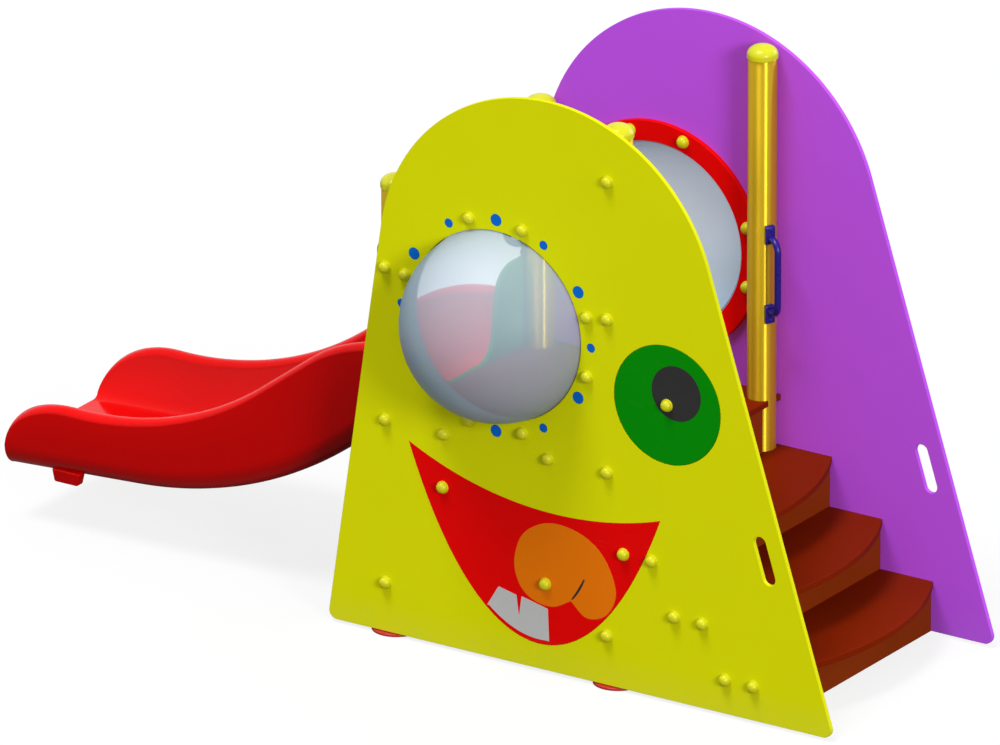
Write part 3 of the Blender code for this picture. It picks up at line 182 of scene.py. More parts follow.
def slideFinish(name, colour, paintedLightColour):
    # rotomoulded skin: glossy and a little wavy; faces that turn upwards are painted paler, as painted light
    # from above
    skin = skins["slide"]
    made, tree, shader = startMaterial(name, skin["roughness"], skin["gloss"])
    surface = addNode(tree, "NewGeometry")
    split = addNode(tree, "SeparateXYZ", {"Vector": surface.outputs["Normal"]})
    cloud = addNoise(tree, scale=4)
    # painted light: the red blends to a paler red as the face turns upwards
    base = addMix(tree, addRange(tree, split.outputs["Z"], 0, 0.5, 0, 1), colour, paintedLightColour)
    fill(tree, shader, {
        "Base Color": addMix(tree, spread(tree, cloud, 0, skin["cloud"]), base, shade(colour, 0.5)),
        "Roughness": addWear(tree, cloud, skin)})
    addBump(tree, shader, addNoise(tree, skin["wave"], detail=2), skin["depth"], strength=0.12)
    return made


def coatFinish(name, colour, roughness=0.24, metallic=0.0, drawn=0.0):
    # powder coat on steel: fine orange peel under a satin gloss, drawn out lengthwise on a tube
    skin = skins["coat"]
    made, tree, shader = startMaterial(name, roughness, skin["gloss"])
    tangent = addNode(tree, "Tangent", direction_type="RADIAL", axis="Z")
    cloud = addNoise(tree, scale=7)
    base = addTint(tree, cloud, colour, 0.96, 1.03)
    fill(tree, shader, {
        "Metallic": metallic, "Anisotropic": drawn, "Anisotropic Rotation": 0.25,
        "Tangent": tangent.outputs["Tangent"],
        "Base Color": addDust(tree, base, dust["coatColour"], dust["coatHeight"]),
        "Roughness": addWear(tree, cloud, skin, roughness)})
    addBump(tree, shader, addNoise(tree, skin["peel"], detail=2), skin["depth"], strength=0.5)
    return made


def mouldedFinish(name, colour):
    # small injection moulded parts: even colour, slight haze from handling
    skin = skins["moulded"]
    made, tree, shader = startMaterial(name, skin["roughness"], skin["gloss"])
    haze = addNoise(tree, scale=60)
    fill(tree, shader, {
        "Base Color": addTint(tree, haze, colour, 0.95, 1.05),
        "Roughness": addRange(tree, haze, 0.2, 0.8, skin["roughness"] - 0.02, skin["roughness"] + 0.03)})
    addBump(tree, shader, addNoise(tree, skin["grain"], detail=1), skin["depth"], strength=0.2)
    return made


def treadFinish(name, colour, roughness):
    # high pressure laminate with a small anti-slip pebble and a fine grit
    skin = skins["tread"]
    made, tree, shader = startMaterial(name, roughness, skin["gloss"])
    cloud = addNoise(tree, scale=6, detail=5, roughness=0.6)
    base = addTint(tree, cloud, colour, 0.94, 1.05)
    grit = addNoise(tree, scale=320, detail=2, roughness=0.7)
    fleck = addRange(tree, grit, 0.55, 0.75, 0, skin["grit"])
    place = addNode(tree, "TexCoord")
    pebble = addNode(tree, "TexVoronoi", {"Vector": place.outputs["Object"], "Scale": skin["pebble"]})
    fill(tree, shader, {"Base Color": addMix(tree, fleck, base, shade(colour, 1.4, lift=0.02))})
    addBump(tree, shader, pebble.outputs["Distance"], skin["depth"], strength=0.45)
    return made


def zincFinish(name, colour):
    # rolled and zinc plated steel with a lengthwise brush
    skin = skins["zinc"]
    made, tree, shader = startMaterial(name, skin["roughness"], skin["gloss"])
    brush = addNoise(tree, scale=40, roughness=0.6, stretch=(1, 24, 24))
    fill(tree, shader, {
        "Metallic": 1.0, "Base Color": addMix(tree, brush, shade(colour, 0.85), shade(colour, 1.1)),
        "Roughness": addRange(tree, brush, 0.3, 0.7, 0.3, 0.5)})
    addBump(tree, shader, brush, skin["depth"], strength=0.4)
    return made


def clearFinish(name, colour, rimColour, gloss):
    # tinted polycarbonate: thin face on, denser towards its rim, with hairline wear
    skin = skins["clear"]
    made, tree, shader = startMaterial(name, skin["roughness"], gloss)
    facing = addNode(tree, "LayerWeight", {"Blend": skin["blend"]}).outputs["Facing"]
    wear = addNoise(tree, scale=24, detail=4, roughness=0.6, stretch=(1, 1, 5))
    fill(tree, shader, {
        "Base Color": addMix(tree, facing, colour, rimColour),
        "Alpha": addRange(tree, facing, 0, 1, skin["thin"], skin["dense"]),
        "Roughness": addWear(tree, wear, skin)})
    return made


colours = {
    "yellow": (0.660, 0.675, 0.001), "purple": (0.470, 0.080, 0.790), "red": (0.740, 0.001, 0.001),
    "green": (0.001, 0.235, 0.001), "dark": (0.030, 0.030, 0.030), "grey": (0.500, 0.500, 0.500),
    "orange": (0.760, 0.172, 0.002), "blue": (0.002, 0.125, 0.560), "tread": (0.178, 0.0125, 0.0004),
    # the risers' brown is painted light: a lighter, more orange copy of the tread brown for their upright
    # faces
    # the slide's paler red is painted light for its upward faces
    "riser": (0.225, 0.030, 0.003), "slide": (0.500, 0.0005, 0.0005), "slideTop": (0.740, 0.0005, 0.0005),
    "post": (0.760, 0.520, 0.020), "cap": (0.580, 0.570, 0.008), "navy": (0.016, 0.008, 0.200),
    "base": (0.460, 0.001, 0.008), "steel": (0.560, 0.570, 0.580), "clear": (0.480, 0.600, 0.700),
    # the far bubble's bluer, brighter tint is painted light on its inside
    "clearFarPaintedLight": (0.360, 0.640, 0.900), "clearRim": (0.180, 0.280, 0.370),
}
finishes = {f"{name}_board": boardFinish(name + "Board", colours[name])
            for name in ("yellow", "purple", "red", "green", "dark", "grey", "orange", "blue")}
finishes.update({
    "brown_board": treadFinish("brownTread", colours["tread"], roughness=0.55),
    # painted light: the risers take a lighter copy of the tread finish
    "brown_riser": treadFinish("brownRiserPaintedLight", colours["riser"], roughness=0.5),
    # the slide's second, paler colour is painted light on its upward faces
    "red_slide": slideFinish("redSlide", colours["slide"], colours["slideTop"]),
    "yellow_post": coatFinish("yellowPost", colours["post"], roughness=0.38, metallic=0.7, drawn=1.0),
    "yellow_cap": mouldedFinish("yellowCap", colours["cap"]),
    "navy_handle": mouldedFinish("navyHandle", colours["navy"]),
    "red_base": coatFinish("redBase", colours["base"]),
    "clear_dome": clearFinish("clearDome", colours["clear"], colours["clearRim"], gloss=0.12),
    # painted light: the far bubble gets a bluer, brighter copy of the clear finish
    "clear_dome_far_painted_light": clearFinish("clearDomeFarPaintedLight", colours["clearFarPaintedLight"], colours["clearRim"], gloss=0.6),
    "zinc_steel": zincFinish("zincSteel", colours["steel"]),
})
print("materials made:", len(finishes))


def addChain(bm, corners, closed=True):
    # edges through (u, v) or (u, v, radius); a corner's arc is one vertex spun about the arc's centre
    before = set(bm.edges)
    ends = []
    for i, corner in enumerate(corners):
        tip = Vector((corner[0], corner[1], 0))
        if len(corner) == 2:
            vert = bm.verts.new(tip)
            ends.append((vert, vert))
            continue
        radius = corner[2]
        last, following = corners[i - 1], corners[(i + 1) % len(corners)]
        back = (Vector((last[0], last[1], 0)) - tip).normalized()
        ahead = (Vector((following[0], following[1], 0)) - tip).normalized()
        half = back.angle(ahead) / 2
        turn = math.pi - 2 * half
        centre = tip + (back + ahead).normalized() * (radius / math.sin(half))
        first = bm.verts.new(tip + back * (radius / math.tan(half)))
        steps = max(2, math.ceil(turn / (2 * math.acos(1 - fit["arcSag"] / radius))))
        spun = bmesh.ops.spin(bm, geom=[first], cent=centre, angle=turn, steps=steps,
                              axis=(0, 0, 1 if back.cross(ahead).z < 0 else -1))
        ends.append((first, spun["geom_last"][0]))
    followers = ends[1:] + ends[:1] if closed else ends[1:]
    for (a, b), (c, d) in zip(ends, followers):
        bm.edges.new((b, c))
    return [e for e in bm.edges if e not in before]


def addRing(bm, shape):
    # a shape is a list of corners, or a dictionary for a circle
    if isinstance(shape, dict):
        before = set(bm.edges)
        bmesh.ops.create_circle(bm, segments=shape["segments"], radius=shape["radius"],
                                matrix=at(*shape["centre"], 0))
        return [e for e in bm.edges if e not in before]
    return addChain(bm, shape)


def circle(centre, radius, segments):
    return {"centre": centre, "radius": radius, "segments": segments}


def arcPoints(centre, radius, start, sweep, count):
    return [Vector((centre[0] + radius * math.cos(start + sweep * i / count),
                    centre[1] + radius * math.sin(start + sweep * i / count))) for i in range(count + 1)]


def newRing(geom):
    # the vertices among what an operator gives, and the edges between them
    verts = {g for g in geom if isinstance(g, bmesh.types.BMVert)}
    return list(verts), [g for g in geom if isinstance(g, bmesh.types.BMEdge) and verts.issuperset(g.verts)]


def pushRing(bm, ring, vec):
    # walls drawn out from a ring of edges; gives the ring at their end
    verts, edges = newRing(bmesh.ops.extrude_edge_only(bm, edges=ring)["geom"])
    bmesh.ops.translate(bm, verts=verts, vec=vec)
    return edges


def fillRings(bm, rings, up=1):
    bmesh.ops.triangle_fill(bm, use_beauty=True, normal=(0, 0, up), edges=[e for ring in rings for e in ring])


def ease(bm, edges, offset, segments=3, clamp=False):
    bmesh.ops.bevel(bm, geom=edges, offset=offset, offset_type="OFFSET", segments=segments, profile=0.5,
                    affect="EDGES", material=-1, clamp_overlap=clamp)


def spinRound(bm, steps, angle=math.tau):
    # what is drawn in the XZ plane, spun about the Z axis
    bmesh.ops.spin(bm, geom=[*bm.verts, *bm.edges], cent=(0, 0, 0), axis=(0, 0, 1), angle=angle, steps=steps,
                   use_merge=angle == math.tau)
    bmesh.ops.remove_doubles(bm, verts=bm.verts, dist=fit["merge"])


def addQuarter(bm, radius, steps):
    # a quarter circle in the XZ plane, from its crown out; gives its foot
    crown = bm.verts.new((0, 0, radius))
    spun = bmesh.ops.spin(bm, geom=[crown], cent=(0, 0, 0), axis=(0, 1, 0), angle=math.pi / 2, steps=steps)
    return spun["geom_last"][0]


def makePlate(outline, thickness, rim, holes=(), pockets=(), pocketDepth=0.0):
    # a board under the plane z = 0 with eased edges, holes through it and pockets in its top
    bm = bmesh.new()
    through = [addRing(bm, shape) for shape in (outline, *holes)]
    sunk = [addRing(bm, shape) for shape in pockets]
    fillRings(bm, through + sunk)
    feet = [pushRing(bm, ring, (0, 0, -thickness)) for ring in through]
    fillRings(bm, feet, up=-1)
    for ring in sunk:
        fillRings(bm, [pushRing(bm, ring, (0, 0, -pocketDepth))])
    ease(bm, [e for ring in through + feet for e in ring], rim)
    return bm


def makeTurned(corners, segments=48, closed=False, angle=math.tau):
    # a profile of (radius, height) corners spun about the Z axis
    bm = bmesh.new()
    addChain(bm, corners, closed)
    bmesh.ops.rotate(bm, verts=bm.verts, cent=(0, 0, 0), matrix=Matrix.Rotation(math.pi / 2, 3, "X"))
    spinRound(bm, segments, angle)
    return bm


def makeRod(radius, depth, segments=64):
    bm = bmesh.new()
    bmesh.ops.create_cone(bm, cap_ends=True, segments=segments, radius1=radius, radius2=radius, depth=depth)
    return bm


def makeBlock(low, high, rim, segments=2):
    bm = bmesh.new()
    bmesh.ops.create_cube(bm, size=1)
    bmesh.ops.scale(bm, verts=bm.verts, vec=Vector(high) - Vector(low))
    bmesh.ops.translate(bm, verts=bm.verts, vec=(Vector(high) + Vector(low)) / 2)
    ease(bm, list(bm.edges), rim, segments)
    return bm


def joined(items):
    # one bmesh of several (bmesh, matrix) copies; the sources are freed
    together = bmesh.new()
    for source, matrix in items:
        mesh = bpy.data.meshes.new("part")
        source.to_mesh(mesh)
        mesh.transform(matrix)
        if matrix.determinant() < 0:
            mesh.flip_normals()
        together.from_mesh(mesh)
        bpy.data.meshes.remove(mesh)
    for source in {id(s): s for s, m in items}.values():
        source.free()
    return together


def toObject(bm, name):
    # a linked object of a bmesh, which is freed
    mesh = bpy.data.meshes.new(name)
    bm.to_mesh(mesh)
    bm.free()
    made = bpy.data.objects.new(name, mesh)
    bpy.context.scene.collection.objects.link(made)
    return made


def finishPiece(bm, name, finish, matrix=Matrix(), replaced=(), body="frame", weighted=False, sharp=38):
    bmesh.ops.transform(bm, matrix=matrix, verts=bm.verts)
    bmesh.ops.remove_doubles(bm, verts=bm.verts, dist=fit["merge"])
    bmesh.ops.recalc_face_normals(bm, faces=bm.faces)
    piece = toObject(bm, name)
    piece.data.shade_smooth()
    piece.data.set_sharp_from_angle(angle=math.radians(sharp))
    piece.data.materials.append(finishes[finish])
    if weighted:
        piece.modifiers.new("normals", "WEIGHTED_NORMAL").keep_sharp = True
    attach(piece, body)
    if replaced:
        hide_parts(*replaced)


def carved(bm, cutter):
    # the first bmesh less the second, by a Boolean
    objects = []
    for source in (bm, cutter):
        bmesh.ops.recalc_face_normals(source, faces=source.faces)
        objects.append(toObject(source, "carve"))
    boolean = objects[0].modifiers.new("carve", "BOOLEAN")
    boolean.operation = "DIFFERENCE"
    boolean.object = objects[1]
    bpy.context.view_layer.update()
    result = bpy.data.meshes.new_from_object(objects[0].evaluated_get(bpy.context.evaluated_depsgraph_get()))
    out = bmesh.new()
    out.from_mesh(result)
    for made in objects:
        data = made.data
        bpy.data.objects.remove(made)
        bpy.data.meshes.remove(data)
    bpy.data.meshes.remove(result)
    return out


def upright(side):
    # drawing plane to world for a side panel: u to X, v to Z, and up to the panel's outward side
    return Matrix(((1, 0, 0, deckX), (0, 0, side, side * fit["outerFace"]), (0, 1, 0, 0), (0, 0, 0, 1)))


def crosswise(x):
    # drawing plane to world for the entry panel: u to Y, v to Z, and up towards the slide
    return Matrix(((0, 0, -1, x), (1, 0, 0, 0), (0, 1, 0, 0), (0, 0, 0, 1)))


def pointing(place, direction):
    # puts +Z along a direction
    return Matrix.Translation(place) @ Vector(direction).to_track_quat("Z", "Y").to_matrix().to_4x4()


def stepHeight(step):
    return fit["groundGap"] + fit["rise"] * step


panel = {
    "thickness": 0.015, "rim": 0.0016, "slideReach": 0.6097, "stepReach": 1.2125,
    "slideLean": math.radians(8.38), "stepLean": math.radians(17.77), "topRadius": 0.60386,
    "cornerRadius": 0.027, "windowRadius": 0.305, "slotLength": 0.156, "slotWidth": 0.044,
    "slotEdge": 0.077, "slotHeight": 0.534, "slotRounding": 0.999, "pocketDepth": 0.0073,
    "windowSegments": 160,
}
eye = {
    "x": 0.615, "z": 0.964, "radius": 0.190, "gap": 0.0015, "depth": 0.007, "rim": 0.0012, "segments": 128,
    "pupilX": 0.032, "pupilZ": 0.043, "pupilRadius": 0.088, "pupilGap": 0.0004, "pupilPocket": 0.0042,
    "pupilDepth": 0.004, "pupilRim": 0.0006, "pupilSegments": 96,
}
mouth = {
    "left": (-0.315, 0.650), "right": (0.590, 0.584), "lipSag": 0.090, "chinLeft": (-0.063, -0.064),
    "chinRight": (0.338, -0.102), "bolts": ((-0.192, 0.525), (0.179, 0.291)), "clearance": 1.0025,
    "middle": (0.14, 0.45), "depth": 0.007, "rim": 0.0008, "curveSteps": 64,
}
inlay = {"depth": 0.003, "rim": 0.0006, "pocket": 0.0031, "proud": 0.0003}
dots = {"circle": 0.341, "big": 0.0195, "small": 0.0145, "count": 12, "clearance": 0.0004, "depth": 0.004,
        "rim": 0.0005, "segments": 32}


def panelOutline():
    base = panel["slideReach"] + panel["stepReach"]
    apex = base / (math.tan(panel["slideLean"]) + math.tan(panel["stepLean"]))
    apexX = apex * math.tan(panel["slideLean"]) - panel["slideReach"]
    return [(-panel["slideReach"], fit["groundGap"], panel["cornerRadius"]),
            (panel["stepReach"], fit["groundGap"], panel["cornerRadius"]),
            (apexX, fit["groundGap"] + apex, panel["topRadius"])]


def slotOutline():
    lean = panel["stepLean"]
    edge = panel["stepReach"] - (panel["slotHeight"] - fit["groundGap"]) * math.tan(lean)
    middle = Vector((edge - panel["slotEdge"] / math.cos(lean), panel["slotHeight"]))
    along = Vector((-math.sin(lean), math.cos(lean))) * panel["slotLength"] / 2
    across = Vector((math.cos(lean), math.sin(lean))) * panel["slotWidth"] / 2
    corners = (-along - across, -along + across, along + across, along - across)
    return [(*(middle + corner), panel["slotWidth"] / 2 * panel["slotRounding"]) for corner in corners]


def chinCurve():
    ends = (Vector(mouth[key]) for key in ("left", "chinLeft", "chinRight", "right"))
    return interpolate_bezier(*ends, mouth["curveSteps"])


def mouthOutline(scale=1.0):
    left, right = Vector(mouth["left"]), Vector(mouth["right"])
    chord = right - left
    radius = (chord.length ** 2 / 4 + mouth["lipSag"] ** 2) / (2 * mouth["lipSag"])
    upward = Vector((-chord.y, chord.x)).normalized()
    centre = (left + right) / 2 + upward * (radius - mouth["lipSag"])
    sweep = 2 * math.asin(chord.length / 2 / radius)
    count = mouth["curveSteps"]
    lip = [centre + Matrix.Rotation(-sweep * i / count, 2) @ (right - centre) for i in range(1, count)]
    middle = Vector(mouth["middle"])
    return [tuple(middle + (p.to_2d() - middle) * scale) for p in (*chinCurve(), *lip)]


def dotPlaces():
    for i in range(dots["count"]):
        angle = math.tau * i / dots["count"]
        radius = dots["big"] if i % 2 else dots["small"]
        u, v = dots["circle"] * math.cos(angle), dots["circle"] * math.sin(angle)
        yield (u, fit["windowHeight"] + v), radius


def buildPanels():
    window = circle((0, fit["windowHeight"]), panel["windowRadius"], panel["windowSegments"])
    size = (panelOutline(), panel["thickness"], panel["rim"], [window, slotOutline()])
    pockets = [circle((eye["x"], eye["z"]), eye["radius"] + eye["gap"], eye["segments"]),
               mouthOutline(mouth["clearance"])]
    pockets += [circle(place, radius + dots["clearance"], dots["segments"]) for place, radius in dotPlaces()]
    finishPiece(makePlate(*size, pockets, panel["pocketDepth"]), "sidePanelNear", "yellow_board", upright(-1),
                ["panel_near"], weighted=True)
    finishPiece(makePlate(*size), "sidePanelFar", "purple_board", upright(1), ["panel_far"], weighted=True)
    inlays = joined([(makePlate(circle((0, 0), radius, dots["segments"]), dots["depth"], dots["rim"]),
                      at(*place, 0)) for place, radius in dotPlaces()])
    finishPiece(inlays, "dotInlays", "blue_board", upright(-1), weighted=True)
    print("side panels done")


teeth = {
    "foot": (-0.026, 0.190), "lift": 0.014, "left": (-0.032, 0.178), "right": 0.192,
    "crown": [(0.187, 0.211, 0.004), (0.092, 0.232, 0.002), (0.083, 0.165, 0.001), (0.074, 0.232, 0.002),
              (0.009, 0.246, 0.004)],
}
tongue = {
    "points": [(0.270, 0.254), (0.328, 0.211), (0.400, 0.238), (0.432, 0.320), (0.385, 0.426),
               (0.298, 0.482), (0.188, 0.490), (0.098, 0.437), (0.066, 0.345), (0.086, 0.268),
               (0.137, 0.228), (0.206, 0.222)],
    "curveSteps": 10,
}
# the crease is a shallow groove in the tongue, filled flush with a dark strip as painted shade
crease = {"points": [(0.2725, 0.2600), (0.3020, 0.2900), (0.3200, 0.3400)], "width": 0.0080, "steps": 16,
          "pocket": 0.0012, "depth": 0.0010, "rim": 0.0002}


def teethOutline():
    # two square teeth with a notch between, cut along the chin at their foot
    low, high = teeth["foot"]
    foot = [(p.x, p.y + teeth["lift"]) for p in chinCurve() if low < p.x < high]
    return [teeth["left"], *foot, (teeth["right"], foot[-1][1]), *teeth["crown"]]


def tongueOutline():
    # smooth through the points, with a sharp notch at the first
    points = [Vector(p) for p in (*tongue["points"], tongue["points"][0])]
    between = [(b - a) / 2 for a, b in zip(points, points[2:])]
    tangents = [points[1] - points[0], *between, points[-1] - points[-2]]
    outline = []
    for a, b, leave, arrive in zip(points, points[1:], tangents, tangents[1:]):
        outline += interpolate_bezier(a, a + leave / 3, b - arrive / 3, b, tongue["curveSteps"])[:-1]
    return [(p.x, p.y) for p in outline]


def creaseOutline():
    # a narrow curved strip that runs up from the notch, thinner towards its ends
    low, bend, high = (Vector(p) for p in crease["points"])
    middle = interpolate_bezier(low, (low + bend) / 2, (bend + high) / 2, high, crease["steps"])
    left, right = [], []
    for i, (a, b) in enumerate(zip(middle, middle[1:])):
        along = (b - a).to_2d().normalized()
        half = crease["width"] / 2 * math.sin(math.pi * (i + 1) / (crease["steps"] + 1)) ** 0.5
        normal = Vector((-along.y, along.x)) * half
        left.append(tuple(a.to_2d() + normal))
        right.append(tuple(a.to_2d() - normal))
    return right + left[::-1]


def buildFace():
    front = upright(-1)
    centred = front @ at(eye["x"], eye["z"], 0)
    lifted = front @ at(0, 0, inlay["proud"])
    pupilPlace = (eye["pupilX"], eye["pupilZ"])
    disc = makePlate(circle((0, 0), eye["radius"], eye["segments"]), eye["depth"], eye["rim"],
                     pockets=[circle(pupilPlace, eye["pupilRadius"] + eye["pupilGap"], eye["pupilSegments"])],
                     pocketDepth=eye["pupilPocket"])
    finishPiece(disc, "eyeDisc", "green_board", centred, ["eye_disc"], "eye_spinner", weighted=True)
    pupil = makePlate(circle(pupilPlace, eye["pupilRadius"], eye["pupilSegments"]), eye["pupilDepth"],
                      eye["pupilRim"])
    finishPiece(pupil, "eyePupil", "dark_board", centred, ["eye_pupil"], "eye_spinner", weighted=True)
    plate = makePlate(mouthOutline(), mouth["depth"], mouth["rim"], pockets=[teethOutline(), tongueOutline()],
                      pocketDepth=inlay["pocket"])
    finishPiece(plate, "mouthPlate", "red_board", front, ["mouth_plate"], weighted=True)
    finishPiece(makePlate(teethOutline(), inlay["depth"], inlay["rim"]), "teethInlay", "grey_board", lifted,
                ["teeth_plate"], weighted=True)
    soft = makePlate(tongueOutline(), inlay["depth"], inlay["rim"], pockets=[creaseOutline()],
                     pocketDepth=crease["pocket"])
    finishPiece(soft, "tongueInlay", "orange_board", lifted, ["tongue_plate"], weighted=True)
    # painted shade: a dark strip fills the crease's groove
    strip = makePlate(creaseOutline(), crease["depth"], crease["rim"])
    finishPiece(strip, "tongueCreasePaintedShade", "dark_board", lifted)
    print("face done")


boltCap = {"radius": 0.020, "height": 0.020, "washer": 0.0042, "domeRadius": 0.0182, "domeShare": 0.82,
           "rimIn": 0.0006, "rimDown": 0.0008, "segments": 32}
flatHead = {"radius": 0.012, "height": 0.004, "rim": 0.0025, "socket": 0.0042}
boltRows = {
    "postShort": (0.170, 0.700, 1.195), "postTall": (0.170, 0.700, 1.195, 1.638),
    "treadFront": (0.9905, 0.8078, 0.6251), "treadBack": 0.115, "treadSpacing": 0.101, "treadDrop": 0.054,
    "deckOffset": 0.188, "deckRise": 0.033, "ringCircle": 0.3415, "ringLean": math.radians(16.3),
    "entryHeights": (0.760, 0.900), "slideRises": (0.045, 0.150), "slideHalf": 0.2885,
}


def makeBoltCap():
    dome, radius, washer = boltCap["domeRadius"], boltCap["radius"], boltCap["washer"]
    profile = [(0, boltCap["height"]), (dome, boltCap["height"], dome * boltCap["domeShare"]), (dome, washer),
               (radius - boltCap["rimIn"], washer), (radius, washer - boltCap["rimDown"]), (radius, 0),
               (0, 0)]
    return makeTurned(profile, boltCap["segments"])


def makeFlatHead():
    radius, height = flatHead["radius"], flatHead["height"]
    bm = makeTurned([(0, height), (radius, height, flatHead["rim"]), (radius, 0), (0, 0)],
                    boltCap["segments"])
    socket = makeRod(flatHead["socket"], height, segments=6)
    bmesh.ops.translate(socket, verts=socket.verts, vec=(0, 0, height))
    return carved(bm, socket)


def panelBolts():
    places = [(-fit["halfX"], z) for z in boltRows["postShort"]]
    places += [(fit["halfX"], z) for z in boltRows["postTall"]]
    for step, front in enumerate(boltRows["treadFront"], 1):
        z = stepHeight(step) - boltRows["treadDrop"]
        middle = front - boltRows["treadBack"]
        places += [(middle + half * boltRows["treadSpacing"], z) for half in (-0.5, 0.5)]
    return places + [(end * boltRows["deckOffset"], fit["deckTop"] + boltRows["deckRise"]) for end in (-1, 1)]


def ringBolts():
    for quarter in range(4):
        for lean in (-boltRows["ringLean"], boltRows["ringLean"]):
            angle = quarter * math.pi / 2 + lean
            yield (boltRows["ringCircle"] * math.cos(angle),
                   fit["windowHeight"] + boltRows["ringCircle"] * math.sin(angle))


def capsAt(places, direction):
    cap = makeBoltCap()
    return [(cap, pointing(place, direction)) for place in places]


def buildBoltCaps():
    for sideName, side in sides.items():
        outer = side * fit["outerFace"]
        inner = side * (fit["innerFace"] - fit["touch"] - clampRing["thickness"])
        corner = [mouth["bolts"][0]] if side < 0 else []
        places = [*panelBolts(), *ringBolts(), *corner]
        items = capsAt([(deckX + u, outer, v) for u, v in places], (0, side, 0))
        # the window's bolts have a cap on the clamping ring's face too
        items += capsAt([(deckX + u, inner, v) for u, v in ringBolts()], (0, -side, 0))
        finishPiece(joined(items), "boltCaps" + sideName.capitalize(), "yellow_cap",
                    replaced=["mouth_bolt_corner"] if side < 0 else [])
    for name, (u, v), node in (("tongueBoltCap", mouth["bolts"][1], "mouth_bolt_tongue"),
                               ("eyePivotCap", (eye["x"], eye["z"]), "eye_pivot")):
        place = (deckX + u, -fit["outerFace"] - fit["touch"], v)
        finishPiece(joined(capsAt([place], (0, -1, 0))), name, "yellow_cap", replaced=[node])
    innerX = deckX - fit["halfX"] - fit["postRadius"] - fit["touch"]
    outerX = innerX - entry["thickness"]
    places = product((outerX,), (side * fit["halfY"] for side in sides.values()), boltRows["entryHeights"])
    finishPiece(joined(capsAt(places, (-1, 0, 0))), "boltCapsEntry", "yellow_cap")
    heads, nodes = [], []
    for sideName, side in sides.items():
        for level, rise in zip(("low", "high"), boltRows["slideRises"]):
            place = (innerX, side * boltRows["slideHalf"], fit["deckTop"] + rise)
            heads.append((makeFlatHead(), pointing(place, (1, 0, 0))))
            nodes.append(f"slide_bolt_{level}_{sideName}")
    finishPiece(joined(heads), "slideBoltHeads", "green_board", replaced=nodes)
    print("bolt caps done")


dome = {"radius": 0.302, "wall": 0.004, "flange": 0.022, "rings": 48, "segments": 128, "sharp": 60}
clampRing = {"inner": 0.305, "outer": 0.372, "thickness": 0.015, "rebate": 0.3248, "rebateDepth": 0.0043,
             "rim": 0.003, "footRim": 0.001, "postGap": 0.0015, "postLength": 1.2, "segments": 128}


def makeBubble():
    bm = bmesh.new()
    edge = addQuarter(bm, dome["radius"], dome["rings"])
    bm.edges.new((edge, bm.verts.new((dome["radius"] + dome["flange"], 0, 0))))
    spinRound(bm, dome["segments"])
    bmesh.ops.recalc_face_normals(bm, faces=bm.faces)
    bmesh.ops.solidify(bm, geom=bm.faces, thickness=-dome["wall"])
    return bm


def makeClampRing():
    inner, outer, thickness, rim = (clampRing[key] for key in ("inner", "outer", "thickness", "rim"))
    step = -clampRing["rebateDepth"]
    return makeTurned([(inner, -thickness, rim), (outer, -thickness, rim), (outer, 0, clampRing["footRim"]),
                       (clampRing["rebate"], 0), (clampRing["rebate"], step), (inner, step)],
                      clampRing["segments"], closed=True)


def buildWindows():
    for sideName, side in sides.items():
        outward = pointing((deckX, side * fit["innerFace"], fit["windowHeight"]), (0, side, 0))
        # the far bubble takes the clear finish's painted-light copy, bluer and brighter than the near one's
        finishPiece(makeBubble(), "bubbleWindow" + sideName.capitalize(),
                    "clear_dome_far_painted_light" if side > 0 else "clear_dome", outward, [f"dome_{sideName}"],
                    sharp=dome["sharp"])
        ring = makeClampRing()
        bmesh.ops.transform(ring, matrix=outward, verts=ring.verts)
        posts = [(makeRod(fit["postRadius"] + clampRing["postGap"], clampRing["postLength"]),
                  at(x, side * fit["halfY"], fit["windowHeight"])) for x in postX.values()]
        finishPiece(carved(ring, joined(posts)), "windowRing" + sideName.capitalize(), "red_board",
                    replaced=[f"dome_ring_{sideName}"], weighted=True)
    print("windows done")


post = {"wall": 0.003, "bottom": 0.0083, "slideTop": 1.435, "stepTop": 1.764, "rim": 0.001, "segments": 72}
postCap = {"radius": 0.048, "rim": 0.012, "dome": 0.031, "rings": 14, "lip": 0.0015, "sharp": 50}
foot = {"radius": 0.076, "thickness": 0.008, "rim": 0.0025, "footRim": 0.001}
handle = {
    "spacing": 0.257, "slideHeight": 1.1085, "stepHeight": 1.0785, "reach": 0.105, "barRadius": 0.0105,
    "bend": 0.034, "bendSteps": 10, "barInset": 0.010, "turn": math.radians(30), "segments": 24,
    "padHeight": 0.060, "padWidth": 0.029, "padThickness": 0.015, "padGap": 0.0006, "padRim": 0.002,
    "padCrown": 0.007, "padEasing": 0.003, "padSteps": 12, "screwInset": 0.018, "screwRadius": 0.006,
    "screwHeight": 0.0028, "screwRim": 0.002, "screwSunk": 0.002, "screwSegments": 20,
}


def makePostCap(side):
    radius, lip = postCap["radius"], postCap["lip"]
    bm = bmesh.new()
    last = addQuarter(bm, radius, postCap["rings"])
    bmesh.ops.scale(bm, verts=bm.verts, vec=(1, 1, postCap["dome"] / radius))
    bmesh.ops.translate(bm, verts=bm.verts, vec=(0, 0, postCap["rim"]))
    for corner in ((radius, 0, lip), (radius - lip, 0, fit["touch"]), (0, 0, fit["touch"])):
        vert = bm.verts.new(corner)
        bm.edges.new((last, vert))
        last = vert
    spinRound(bm, post["segments"])
    # the rim is cut flat where it meets the side panel
    cut = bmesh.ops.bisect_plane(bm, geom=[*bm.verts, *bm.edges, *bm.faces], clear_outer=True,
                                 plane_co=(0, side * fit["postRadius"], 0), plane_no=(0, side, 0))
    bmesh.ops.holes_fill(bm, edges=[g for g in cut["geom_cut"] if isinstance(g, bmesh.types.BMEdge)])
    return bm


